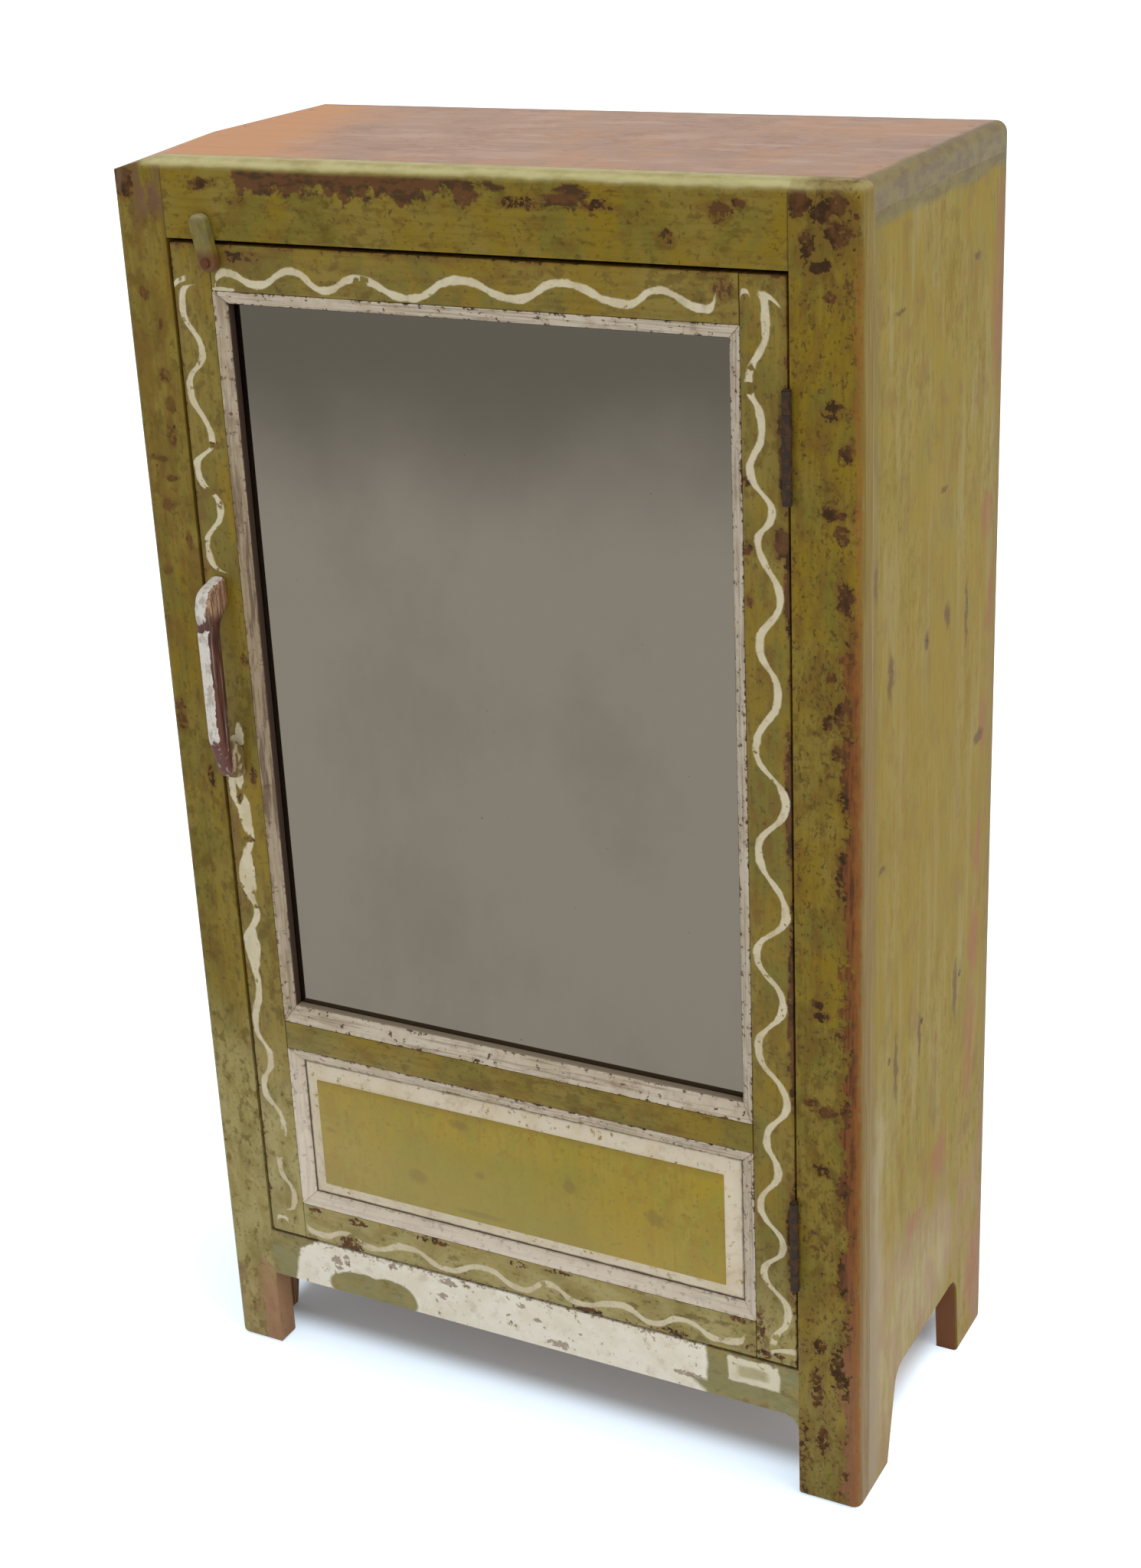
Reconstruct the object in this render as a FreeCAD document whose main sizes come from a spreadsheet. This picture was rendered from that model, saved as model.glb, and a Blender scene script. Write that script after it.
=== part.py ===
import FreeCAD, Part
import os
import re
import Sketcher

# A narrow painted cupboard with one inset door that holds a mirror over a raised panel.
# Millimetres. X runs to the right, Y to the back, Z up. The origin is on the floor, in the middle of
# the ground that the cupboard and its handle cover.

# Counts
BACK_BOARD_COUNT = 4
KNUCKLE_COUNT = 5
CASE_KNUCKLES = range(0, KNUCKLE_COUNT, 2)
DOOR_KNUCKLES = range(1, KNUCKLE_COUNT, 2)

# Places along a length, as shares of it
SHELF_NAIL_SHARES = (0.20, 0.44, 0.74)
TOP_NAIL_SHARES = (0.16, 0.50, 0.84)
BACK_NAIL_SHARE = 0.50
HINGE_SCREW_SHARES = (0.15, 0.50, 0.85)
SPRIG_UPRIGHT_SHARES = (0.15, 0.50, 0.85)
SPRIG_LEVEL_SHARES = (0.25, 0.75)

SIZES = {
    # Case outside
    "case_width": 605,
    "case_depth": 300,
    "case_height": 1060,
    "edge_radius": 10,
    "left_edge_radius": 6,
    "right_edge_radius": 8,
    "foot_edge_radius": 5,
    # Face frame: posts, top rail, apron
    "frame_thickness": 21,
    "left_stile_width": 44.5,
    "right_stile_width": 52.5,
    "top_rail_height": 59,
    "foot_height": 77,
    "apron_height": 45,
    "apron_cove_radius": 14,
    # Side planks and their feet
    "side_thickness": 20,
    "cutout_height": 85,
    "cutout_radius": 18,
    "front_foot_depth": 62,
    "back_foot_depth": 62,
    "front_foot_taper": 20,
    "back_foot_taper": 9,
    # Boards between the sides
    "top_thickness": 22,
    "bottom_thickness": 18,
    "shelf_thickness": 18,
    "shelf_setback": 42,
    "housing_depth": 5,
    "lower_shelf_height": 376,
    "upper_shelf_height": 694,
    "back_thickness": 10,
    "back_rebate": 8,
    "back_seam": 0.6,
    # Door frame and the gaps round it
    "door_gap_free": 2.5,
    "door_gap_hinge": 1.6,
    "door_gap_low": 2,
    "door_gap_top": 3,
    "door_thickness": 22,
    "door_stile_width": 35,
    "door_top_rail_height": 35.5,
    "middle_rail_height": 26,
    "bottom_rail_height": 35,
    "panel_opening_height": 155.5,
    "tenon_length": 24,
    "tenon_thickness": 8,
    "tenon_setback": 7,
    "tenon_shoulder": 3,
    "tenon_end_gap": 1,
    # Mirror, its mouldings and backing
    "mirror_moulding_width": 10.5,
    "mirror_sill_width": 15,
    "moulding_drop": 6,
    "mirror_reveal": 7,
    "glass_thickness": 3,
    "glass_margin": 0.8,
    "backing_thickness": 3,
    "sprig_radius": 0.8,
    "sprig_length": 16,
    # Raised panel and its mouldings
    "panel_moulding_width": 12,
    "panel_seat_depth": 8,
    "tongue_thickness": 7,
    "groove_depth": 7,
    "groove_end_gap": 1,
    "field_depth": 1,
    "field_step": 2,
    "panel_bevel_width": 14.5,
    # Bow handle
    "handle_low": 566,
    "handle_inset": 14.5,
    "handle_length": 170,
    "handle_width": 15,
    "handle_reach": 28,
    "handle_grip_thickness": 14,
    "handle_end_length": 24,
    "handle_slope_length": 38,
    "handle_tail_drop": 11,
    "handle_crown_length": 8,
    "handle_inner_slope": 12,
    "handle_bend_radius": 14,
    "handle_edge_radius": 3.5,
    "handle_screw_radius": 2,
    "handle_screw_head_radius": 4,
    "handle_screw_head_height": 2,
    "handle_screw_grip": 8,
    # Turn button
    "button_length": 44,
    "button_width": 15,
    "button_thickness": 8,
    "button_edge_radius": 2,
    "button_pivot_inset": 38.5,
    "button_pivot_drop": 13,
    "button_lean_degrees": -11,
    "button_face_gap": 0.3,
    "button_screw_radius": 1.9,
    "button_screw_head_radius": 3.6,
    "button_screw_head_height": 1.8,
    "button_screw_grip": 14,
    # Butt hinges
    "hinge_length": 80,
    "hinge_end_distance": 77,
    "knuckle_radius": 3.5,
    "knuckle_face_gap": 0.4,
    "knuckle_end_gap": 0.2,
    "leaf_thickness": 2,
    "leaf_gap": 0.4,
    "leaf_let_in": 18,
    "pin_radius": 1.6,
    "pin_head_radius": 2.6,
    "pin_head_height": 1.2,
    "hinge_screw_radius": 1.6,
    "hinge_screw_head_radius": 3.2,
    "hinge_screw_head_height": 1.6,
    "hinge_screw_length": 16,
    # Nails
    "nail_radius": 1.5,
    "nail_head_radius": 3.2,
    "nail_head_height": 1.5,
    "nail_length": 45,
    "top_nail_inset": 15,
    # Shared fit and cutting allowances
    "turning_clearance": 0.05,
    "driven_clearance": 0.02,
    "overrun": 5,
}

DERIVED = {
    "half_width": "case_width / 2",
    "front_face": "(handle_reach - case_depth) / 2",
    "frame_back": "front_face + frame_thickness",
    "back_face": "front_face + case_depth",
    "back_front": "back_face - back_thickness",
    "opening_left": "left_stile_width - half_width",
    "opening_right": "half_width - right_stile_width",
    "apron_top": "foot_height + apron_height",
    "rail_underside": "case_height - top_rail_height",
    "plank_depth": "case_depth - frame_thickness",
    "plank_height": "case_height - top_thickness",
    "front_foot_end": "front_foot_depth - frame_thickness",
    "cutout_front": "front_foot_end + front_foot_taper",
    "back_foot_start": "plank_depth - back_foot_depth",
    "cutout_back": "back_foot_start - back_foot_taper",
    "bottom_low": "apron_top - bottom_thickness",
    "board_left": "side_thickness - half_width - housing_depth",
    "board_width": "case_width - 2 * side_thickness + 2 * housing_depth",
    "back_left": "side_thickness - half_width - back_rebate",
    "back_width": "case_width - 2 * side_thickness + 2 * back_rebate",
    "door_left": "opening_left + door_gap_free",
    "door_right": "opening_right - door_gap_hinge",
    "door_low": "apron_top + door_gap_low",
    "door_high": "rail_underside - door_gap_top",
    "inside_left": "door_left + door_stile_width",
    "inside_right": "door_right - door_stile_width",
    "inside_width": "inside_right - inside_left",
    "inside_middle": "(inside_left + inside_right) / 2",
    "panel_low": "door_low + bottom_rail_height",
    "panel_high": "panel_low + panel_opening_height",
    "mirror_low": "panel_high + middle_rail_height",
    "mirror_high": "door_high - door_top_rail_height",
    "mirror_height": "mirror_high - mirror_low",
    "mirror_seat": "front_face + moulding_drop + mirror_reveal",
    "backing_seat": "mirror_seat + glass_thickness",
    "sprig_line": "backing_seat + backing_thickness + sprig_radius + driven_clearance",
    "panel_seat": "front_face + panel_seat_depth",
    "tongue_reach": "groove_depth - groove_end_gap",
    "field_inset": "panel_moulding_width + panel_bevel_width",
    "handle_front": "front_face - handle_reach",
    "handle_middle": "door_left + handle_inset",
    "handle_crown": "handle_length - handle_crown_length",
    "handle_top_foot": "handle_length - handle_end_length",
    "handle_gap_top": "handle_top_foot - handle_inner_slope",
    "handle_gap_low": "handle_end_length + handle_inner_slope",
    "button_across": "door_left + button_pivot_inset",
    "button_up": "door_high - button_pivot_drop",
    "button_back": "front_face - button_face_gap",
    "hinge_across": "opening_right - door_gap_hinge / 2",
    "hinge_out": "front_face - knuckle_radius - knuckle_face_gap",
    "leaf_end": "front_face + leaf_let_in",
    "knuckle_length": f"hinge_length / {KNUCKLE_COUNT}",
    "lower_hinge_low": "door_low + hinge_end_distance",
    "upper_hinge_low": "door_high - hinge_end_distance - hinge_length",
}

doc = FreeCAD.newDocument("cupboard")
sheet = doc.addObject("Spreadsheet::Sheet", "sizes")

for row, (name, formula) in enumerate({**SIZES, **DERIVED}.items(), start=1):
    sheet.set(f"A{row}", name)
    sheet.set(f"B{row}", f"={formula}" if name in DERIVED else str(formula))
    sheet.setAlias(f"B{row}", name)
doc.recompute()

# Turns that lay a piece's own Z along another direction
ALONG = {
    "+x": FreeCAD.Rotation(FreeCAD.Vector(0, 1, 0), 90),
    "-x": FreeCAD.Rotation(FreeCAD.Vector(0, 1, 0), -90),
    "+y": FreeCAD.Rotation(FreeCAD.Vector(1, 0, 0), -90),
    "-y": FreeCAD.Rotation(FreeCAD.Vector(1, 0, 0), 90),
    "+z": FreeCAD.Rotation(),
    "-z": FreeCAD.Rotation(FreeCAD.Vector(1, 0, 0), 180),
}

# Zero written as a formula: the floor, a piece's own origin, or no clearance
ZERO = "0"

nodes = []


def in_sheet(formula):
    """The formula with every size name pointed at the sheet."""
    return re.sub(r"[a-z_]+", lambda word: f"sizes.{word.group()}", formula)


def bind(piece, **formulas):
    """Ties properties of a piece to formulas of the sheet's sizes."""
    for name, formula in formulas.items():
        piece.setExpression(name, in_sheet(formula))
    return piece


def place(piece, corner):
    """Ties the place of a piece's own origin to three formulas."""
    for axis, formula in zip("xyz", corner):
        piece.setExpression(f"Placement.Base.{axis}", in_sheet(formula))
    return piece


def block(low, high):
    """A rectangular block from its low corner to its high corner."""
    extents = [f"({far}) - ({near})" for near, far in zip(low, high)]
    piece = doc.addObject("Part::Box", "block")
    bind(piece, Length=extents[0], Width=extents[1], Height=extents[2])
    return place(piece, low)


def rod(start, along, radius, length):
    """A round bar that starts at a place and runs along a direction."""
    piece = bind(doc.addObject("Part::Cylinder", "rod"), Radius=radius, Height=length)
    piece.Placement.Rotation = ALONG[along]
    return place(piece, start)


def cone(start, along, wide, narrow, length):
    """A round taper from its wide end to its narrow end."""
    piece = bind(doc.addObject("Part::Cone", "cone"), Radius1=wide, Radius2=narrow, Height=length)
    piece.Placement.Rotation = ALONG[along]
    return place(piece, start)


def group(pieces):
    """Separate solids kept together."""
    bundle = doc.addObject("Part::Compound", "group")
    bundle.Links = pieces
    return bundle


def fuse(*pieces):
    """Several pieces joined into one solid."""
    whole = doc.addObject("Part::MultiFuse", "whole")
    whole.Shapes = list(pieces)
    return whole


def cut(piece, *tools):
    """A piece with the tools taken out of it."""
    rest = doc.addObject("Part::Cut", "rest")
    rest.Base = piece
    rest.Tool = tools[0] if len(tools) == 1 else fuse(*tools)
    return rest


def size(name):
    """The value of a size in the sheet."""
    return sheet.get(name)


def same(first, second):
    """True where two lengths are equal."""
    return abs(first - second) < Part.Precision.confusion()


def lies(edge, **planes):
    """True where a whole edge lies on the given planes, such as x=0 and z=5."""
    spots = [vertex.Point for vertex in edge.Vertexes] + [edge.CenterOfMass]
    return all(same(getattr(spot, axis), value) for axis, value in planes.items() for spot in spots)


def edge_numbers(shape, wanted):
    """Numbers of the edges that pass the test."""
    return [number for number, edge in enumerate(shape.Edges, start=1) if wanted(edge)]


def rounded(piece, radius, wanted):
    """A piece with the edges that pass the test rounded."""
    doc.recompute()
    result = doc.addObject("Part::Fillet", "rounded")
    result.Base = piece
    result.Edges = [(number, size(radius), size(radius)) for number in edge_numbers(piece.Shape, wanted)]
    return result


def outline(body, role, corners):
    """A closed outline on an origin plane of the body, every corner tied to two sizes."""
    sketch = body.newObject("Sketcher::SketchObject", f"{body.Name}_outline")
    plane = next(feature for feature in body.Origin.OriginFeatures if feature.Role == role)
    sketch.AttachmentSupport = (plane, [""])
    sketch.MapMode = "FlatFace"
    spots = [FreeCAD.Vector(*[size(name) if name else 0 for name in corner], 0) for corner in corners]
    for start, end in zip(spots, spots[1:] + spots[:1]):
        sketch.addGeometry(Part.LineSegment(start, end), False)
    for line in range(len(spots)):
        sketch.addConstraint(Sketcher.Constraint("Coincident", line, 2, (line + 1) % len(spots), 1))
    for line, corner in enumerate(corners):
        for kind, axis, name in (("DistanceX", -2, corner[0]), ("DistanceY", -1, corner[1])):
            if name:
                number = sketch.addConstraint(Sketcher.Constraint(kind, -1, 1, line, 1, size(name)))
                sketch.setExpression(f"Constraints[{number}]", in_sheet(name))
            else:
                sketch.addConstraint(Sketcher.Constraint("PointOnObject", line, 1, axis))
    return sketch


def padded(body, sketch, length, midplane=False):
    """The outline raised to a thickness."""
    pad = body.newObject("PartDesign::Pad", f"{body.Name}_pad")
    pad.Profile = sketch
    pad.Midplane = midplane
    bind(pad, Length=length)
    doc.recompute()
    return pad


def body_fillet(body, base, radius, wanted):
    """The edges of a body's feature that pass the test, rounded."""
    fillet = body.newObject("PartDesign::Fillet", f"{body.Name}_fillet")
    fillet.Base = (base, [f"Edge{number}" for number in edge_numbers(base.Shape, wanted)])
    bind(fillet, Radius=radius)
    doc.recompute()
    return fillet


def node(label, piece):
    """Names a finished sub-part and lists it for the export."""
    piece.Label = label
    nodes.append(piece)
    return piece


def nail(start, along, clearance):
    """A flat-headed nail, or its hole where the clearance is added."""
    head = rod(start, along, f"nail_head_radius + {clearance}", f"nail_head_height + {clearance}")
    shank = rod(start, along, f"nail_radius + {clearance}", f"nail_length + {clearance}")
    return fuse(head, shank)


def screw(start, along, kind, length, clearance):
    """A countersunk screw, or its hole where the clearance is added."""
    wide = f"{kind}_head_radius + {clearance}"
    narrow = f"{kind}_radius + {clearance}"
    head = cone(start, along, wide, narrow, f"{kind}_head_height")
    shank = rod(start, along, narrow, f"{length} + {clearance}")
    return fuse(head, shank)


# Fasteners and the holes they sit in, worked out first because the boards are bored for them

def both(make, spots, *rest):
    """Solids at the spots, and the same with the driven clearance as holes."""
    solids = [make(*spot, *rest, ZERO) for spot in spots]
    holes = [make(*spot, *rest, "driven_clearance") for spot in spots]
    return group(solids), group(holes)


def shelf_nail_spots(side):
    """Outer ends of the nails that hold both shelves on one side."""
    across, along = {"left": ("-half_width", "+x"), "right": ("half_width", "-x")}[side]
    levels = [f"{shelf}_shelf_height + shelf_thickness / 2" for shelf in ("lower", "upper")]
    return [
        ((across, f"front_face + {share} * case_depth", level), along)
        for level in levels
        for share in SHELF_NAIL_SHARES
    ]


left_shelf_nails, left_shelf_nail_holes = both(nail, shelf_nail_spots("left"))
right_shelf_nails, right_shelf_nail_holes = both(nail, shelf_nail_spots("right"))

top_nail_spots = [
    ((f"{sign} * (half_width - top_nail_inset)", f"frame_back + {share} * plank_depth", "case_height"), "-z")
    for sign in (-1, 1)
    for share in TOP_NAIL_SHARES
]
top_nails, top_nail_holes = both(nail, top_nail_spots)

back_board_pitch = f"(back_width + back_seam) / {BACK_BOARD_COUNT}"
back_nail_levels = (
    "bottom_low + bottom_thickness / 2",
    "lower_shelf_height + shelf_thickness / 2",
    "upper_shelf_height + shelf_thickness / 2",
)
back_nail_spots = [
    ((f"back_left + ({number} + {BACK_NAIL_SHARE}) * {back_board_pitch}", "back_face", level), "-y")
    for number in range(BACK_BOARD_COUNT)
    for level in back_nail_levels
]
back_nails, back_nail_holes = both(nail, back_nail_spots)

handle_screw_spots = [
    (("handle_middle", "front_face + door_thickness", f"handle_low + {level}"), "-y")
    for level in ("handle_end_length / 2", "handle_length - handle_end_length / 2")
]
handle_screws, handle_screw_holes = both(
    screw, handle_screw_spots, "handle_screw", "door_thickness + handle_screw_grip"
)

hinge_lows = ("lower_hinge_low", "upper_hinge_low")
case_screw_spots = [
    (("hinge_across + leaf_gap / 2", "front_face + leaf_let_in / 2", f"{low} + {share} * hinge_length"), "+x")
    for low in hinge_lows
    for share in HINGE_SCREW_SHARES
]
door_screw_spots = [
    (("hinge_across - leaf_gap / 2", out, up), "-x")
    for (_, out, up), _ in case_screw_spots
]
hinge_case_screws, hinge_case_screw_holes = both(screw, case_screw_spots, "hinge_screw", "hinge_screw_length")
hinge_door_screws, hinge_door_screw_holes = both(screw, door_screw_spots, "hinge_screw", "hinge_screw_length")


def sprig(start, along, clearance):
    """A thin headless pin, or its hole where the clearance is added."""
    return rod(start, along, f"sprig_radius + {clearance}", "sprig_length")


sprig_spots = [
    ((f"{edge} - sprig_length / 2", "sprig_line", f"mirror_low + {share} * mirror_height"), "+x")
    for edge in ("inside_left", "inside_right")
    for share in SPRIG_UPRIGHT_SHARES
] + [
    ((f"inside_left + {share} * inside_width", "sprig_line", f"{edge} - sprig_length / 2"), "+z")
    for edge in ("mirror_low", "mirror_high")
    for share in SPRIG_LEVEL_SHARES
]
backing_sprigs, sprig_holes = both(sprig, sprig_spots)

node("left_shelf_nails", left_shelf_nails)
node("right_shelf_nails", right_shelf_nails)
node("top_nails", top_nails)
node("back_nails", back_nails)
node("handle_screws", handle_screws)
node("hinge_case_screws", hinge_case_screws)
node("hinge_door_screws", hinge_door_screws)
node("backing_sprigs", backing_sprigs)

# Face frame


def front_stile(side):
    """A front post with its top and its outer edges rounded, on the floor at its foot."""
    near, far = {"left": ("-half_width", "opening_left"), "right": ("opening_right", "half_width")}[side]
    outer = size("half_width") * (-1 if side == "left" else 1)
    front = size("front_face")
    top = size("case_height")
    post = block((near, "front_face", ZERO), (far, "frame_back", "case_height"))
    back = size("frame_back")
    brow = rounded(post, "edge_radius", lambda edge: lies(edge, y=front, z=top))
    soft = rounded(
        brow,
        f"{side}_edge_radius",
        lambda edge: lies(edge, x=outer) and not lies(edge, z=0) and not lies(edge, y=back),
    )
    return rounded(soft, "foot_edge_radius", lambda edge: lies(edge, z=0) and not lies(edge, y=back))


def leaf_seat(near, far):
    """Room let into an edge of wood for the hinge leaves."""
    return [
        block((near, "front_face - overrun", low), (far, "leaf_end", f"{low} + hinge_length"))
        for low in hinge_lows
    ]


node("left_front_stile", front_stile("left"))
case_leaf_far = "hinge_across + leaf_gap / 2 + leaf_thickness"
node(
    "right_front_stile",
    cut(
        front_stile("right"),
        *leaf_seat("opening_right - overrun", case_leaf_far),
        hinge_case_screw_holes,
    ),
)

rail = block(("opening_left", "front_face", "rail_underside"), ("opening_right", "frame_back", "case_height"))
front_top = {"y": size("front_face"), "z": size("case_height")}
node("top_rail", rounded(rail, "edge_radius", lambda edge: lies(edge, **front_top)))

apron_board = block(("opening_left", "front_face", "foot_height"), ("opening_right", "frame_back", "apron_top"))
cove_block = block(
    ("opening_right - apron_cove_radius", "front_face", "foot_height - apron_cove_radius"),
    ("opening_right", "frame_back", "foot_height"),
)
cove_hollow = rod(
    ("opening_right - apron_cove_radius", "front_face - overrun", "foot_height - apron_cove_radius"),
    "+y",
    "apron_cove_radius",
    "frame_thickness + 2 * overrun",
)
node("apron_rail", fuse(apron_board, cut(cove_block, cove_hollow)))

# Side planks


def side_plank(side):
    """A side plank with feet, housings for the boards and a rebate for the back."""
    body = doc.addObject("PartDesign::Body", f"{side}_plank")
    profile = outline(
        body,
        "YZ_Plane",
        [
            ("", ""),
            ("front_foot_end", ""),
            ("cutout_front", "cutout_height"),
            ("cutout_back", "cutout_height"),
            ("back_foot_start", ""),
            ("plank_depth", ""),
            ("plank_depth", "plank_height"),
            ("", "plank_height"),
        ],
    )
    pad = padded(body, profile, "side_thickness")
    arch = body_fillet(
        body,
        pad,
        "cutout_radius",
        lambda edge: lies(edge, y=size("cutout_front")) or lies(edge, y=size("cutout_back")),
    )
    outer_face = 0 if side == "left" else size("side_thickness")
    back_corner = body_fillet(
        body,
        arch,
        f"{side}_edge_radius",
        lambda edge: lies(edge, x=outer_face, y=size("plank_depth")),
    )
    foot_edge = body_fillet(
        body,
        back_corner,
        "foot_edge_radius",
        lambda edge: lies(edge, x=outer_face, z=0),
    )
    body.Tip = foot_edge
    place(body, ("-half_width" if side == "left" else "half_width - side_thickness", "frame_back", ZERO))
    inner = "side_thickness - half_width" if side == "left" else "half_width - side_thickness"
    inward = 1 if side == "left" else -1
    deep = f"{inner} - {inward} * housing_depth"
    clear = f"{inner} + {inward} * overrun"
    near, far = (deep, clear) if side == "left" else (clear, deep)
    boards = (
        ("frame_back - overrun", "bottom_low", "apron_top"),
        ("front_face + shelf_setback", "lower_shelf_height", "lower_shelf_height + shelf_thickness"),
        ("front_face + shelf_setback", "upper_shelf_height", "upper_shelf_height + shelf_thickness"),
    )
    housings = [
        block((near, front, low), (far, "back_face + overrun", high))
        for front, low, high in boards
    ]
    rebate_deep = f"{inner} - {inward} * back_rebate"
    near, far = (rebate_deep, clear) if side == "left" else (clear, rebate_deep)
    rebate = block((near, "back_front", "bottom_low"), (far, "back_face + overrun", "case_height"))
    holes = left_shelf_nail_holes if side == "left" else right_shelf_nail_holes
    return cut(body, *housings, rebate, holes, top_nail_holes)


node("left_side", side_plank("left"))
node("right_side", side_plank("right"))

# Boards between the sides

top = block(("-half_width", "frame_back", "plank_height"), ("half_width", "back_face", "case_height"))
soft_top = rounded(
    top,
    "edge_radius",
    lambda edge: lies(edge, y=size("back_face"), z=size("case_height")),
)
for side, outer in (("left", -size("half_width")), ("right", size("half_width"))):
    soft_top = rounded(
        soft_top,
        f"{side}_edge_radius",
        lambda edge: lies(edge, x=outer)
        and not lies(edge, z=size("plank_height"))
        and not lies(edge, y=size("frame_back")),
    )
node("top_board", cut(soft_top, top_nail_holes))

bottom = block(
    ("board_left", "frame_back", "bottom_low"),
    ("board_left + board_width", "back_front", "apron_top"),
)
node("bottom_board", cut(bottom, back_nail_holes))

for shelf in ("lower", "upper"):
    height = f"{shelf}_shelf_height"
    board = block(
        ("board_left", "front_face + shelf_setback", height),
        ("board_left + board_width", "back_front", f"{height} + shelf_thickness"),
    )
    bored = cut(board, left_shelf_nail_holes, right_shelf_nail_holes, back_nail_holes)
    node(f"{shelf}_shelf", bored)

for number in range(BACK_BOARD_COUNT):
    left = f"back_left + {number} * {back_board_pitch}"
    board = block(
        (left, "back_front", "bottom_low"),
        (f"{left} + {back_board_pitch} - back_seam", "back_face", "plank_height"),
    )
    node(f"back_board_{number + 1}", cut(board, back_nail_holes))

# Door frame: full-height stiles, rails tenoned into them, a groove round the lower opening

tenon_front = "front_face + tenon_setback"
tenon_back = f"{tenon_front} + tenon_thickness"
tongue_back = "panel_seat + tongue_thickness"
rails = {
    "door_top_rail": ("mirror_high", "door_high", "tenon_shoulder", "tenon_shoulder"),
    "door_middle_rail": ("panel_high", "mirror_low", "groove_depth", "tenon_shoulder"),
    "door_bottom_rail": ("door_low", "panel_low", "tenon_shoulder", "groove_depth"),
}


def tenons(reach):
    """Level bars through each rail's tenons, as far into the stiles as asked."""
    return [
        block(
            (f"inside_left - {reach}", tenon_front, f"{low} + {below}"),
            (f"inside_right + {reach}", tenon_back, f"{high} - {above}"),
        )
        for low, high, below, above in rails.values()
    ]


def panel_room(reach, front, back):
    """The lower opening, widened on all four sides by a reach."""
    return block(
        (f"inside_left - {reach}", front, f"panel_low - {reach}"),
        (f"inside_right + {reach}", back, f"panel_high + {reach}"),
    )


button_pivot = ("button_across", "front_face - button_face_gap - button_thickness", "button_up")
button_screw_length = "button_thickness + button_face_gap + button_screw_grip"
button_pilot = rod(button_pivot, "+y", "button_screw_radius + driven_clearance", button_screw_length)
mortises = tenons("(tenon_length + tenon_end_gap)")
groove = panel_room("groove_depth", "panel_seat", tongue_back)

free_stile = block(("door_left", "front_face", "door_low"), ("inside_left", "front_face + door_thickness", "door_high"))
node("door_free_stile", cut(free_stile, *mortises, groove, sprig_holes, handle_screw_holes, button_pilot))

hinge_stile = block(
    ("inside_right", "front_face", "door_low"),
    ("door_right", "front_face + door_thickness", "door_high"),
)
door_leaf_near = "hinge_across - leaf_gap / 2 - leaf_thickness"
door_leaf_seats = leaf_seat(door_leaf_near, "door_right + overrun")
node("door_hinge_stile", cut(hinge_stile, *mortises, groove, sprig_holes, *door_leaf_seats, hinge_door_screw_holes))

for (label, (low, high, below, above)), tenon in zip(rails.items(), tenons("tenon_length")):
    bar = block(("inside_left", "front_face", low), ("inside_right", "front_face + door_thickness", high))
    inner_groove = block(
        ("inside_left - overrun", "panel_seat", "panel_low - groove_depth"),
        ("inside_right + overrun", tongue_back, "panel_high + groove_depth"),
    )
    grooved = bar if label == "door_top_rail" else cut(bar, inner_groove)
    node(label, cut(fuse(grooved, tenon), sprig_holes, button_pilot))

# Mirror and its backing


def behind_moulding(front, back):
    """A sheet that fills the mirror opening behind the mouldings, but for its margin."""
    return block(
        ("inside_left + glass_margin", front, "mirror_low + glass_margin"),
        ("inside_right - glass_margin", back, "mirror_high - glass_margin"),
    )


node("mirror_glass", behind_moulding("mirror_seat", "backing_seat"))
node("mirror_backing", behind_moulding("backing_seat", "backing_seat + backing_thickness"))

# Mitred mouldings: the outer face is the long one, the front slopes down to the inner face

SIDE_TURNS = {"top": 0, "right": 90, "bottom": 180, "left": 270}
SIDES = list(SIDE_TURNS)


def moulding_strip(side, low, high, widths, seat):
    """One strip along a side of an opening of the door, mitred against the strips at its two ends."""
    level = side in ("top", "bottom")
    length = "inside_width" if level else f"({high} - {low})"
    place_in_turn = SIDES.index(side)
    before = widths[SIDES[place_in_turn - 1]]
    after = widths[SIDES[(place_in_turn + 1) % len(SIDES)]]
    strip = bind(
        doc.addObject("Part::Wedge", "strip"),
        Xmin=f"-{length} / 2",
        Xmax=f"{length} / 2",
        X2min=f"{before} - {length} / 2",
        X2max=f"{length} / 2 - {after}",
        Ymin=ZERO,
        Ymax=widths[side],
        Zmin=ZERO,
        Zmax=seat,
        Z2min="moulding_drop",
        Z2max=seat,
    )
    turn = FreeCAD.Rotation(FreeCAD.Vector(0, 1, 0), SIDE_TURNS[side])
    strip.Placement.Rotation = turn * FreeCAD.Rotation(FreeCAD.Vector(1, 0, 0), -90)
    across = {"left": "inside_left", "right": "inside_right"}.get(side, "inside_middle")
    up = {"top": high, "bottom": low}.get(side, f"({low} + {high}) / 2")
    return place(strip, (across, "front_face", up))


mirror_widths = {**dict.fromkeys(SIDES, "mirror_moulding_width"), "bottom": "mirror_sill_width"}
panel_widths = dict.fromkeys(SIDES, "panel_moulding_width")
mirror_strip_depth = "(moulding_drop + mirror_reveal)"
for side in SIDES:
    mirror_strip = moulding_strip(side, "mirror_low", "mirror_high", mirror_widths, mirror_strip_depth)
    node(f"mirror_moulding_{side}", mirror_strip)
    panel_strip = moulding_strip(side, "panel_low", "panel_high", panel_widths, "panel_seat_depth")
    node(f"panel_moulding_{side}", panel_strip)

# Raised panel: a tongue in the groove, a sloping margin and a field that stands up a step

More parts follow.
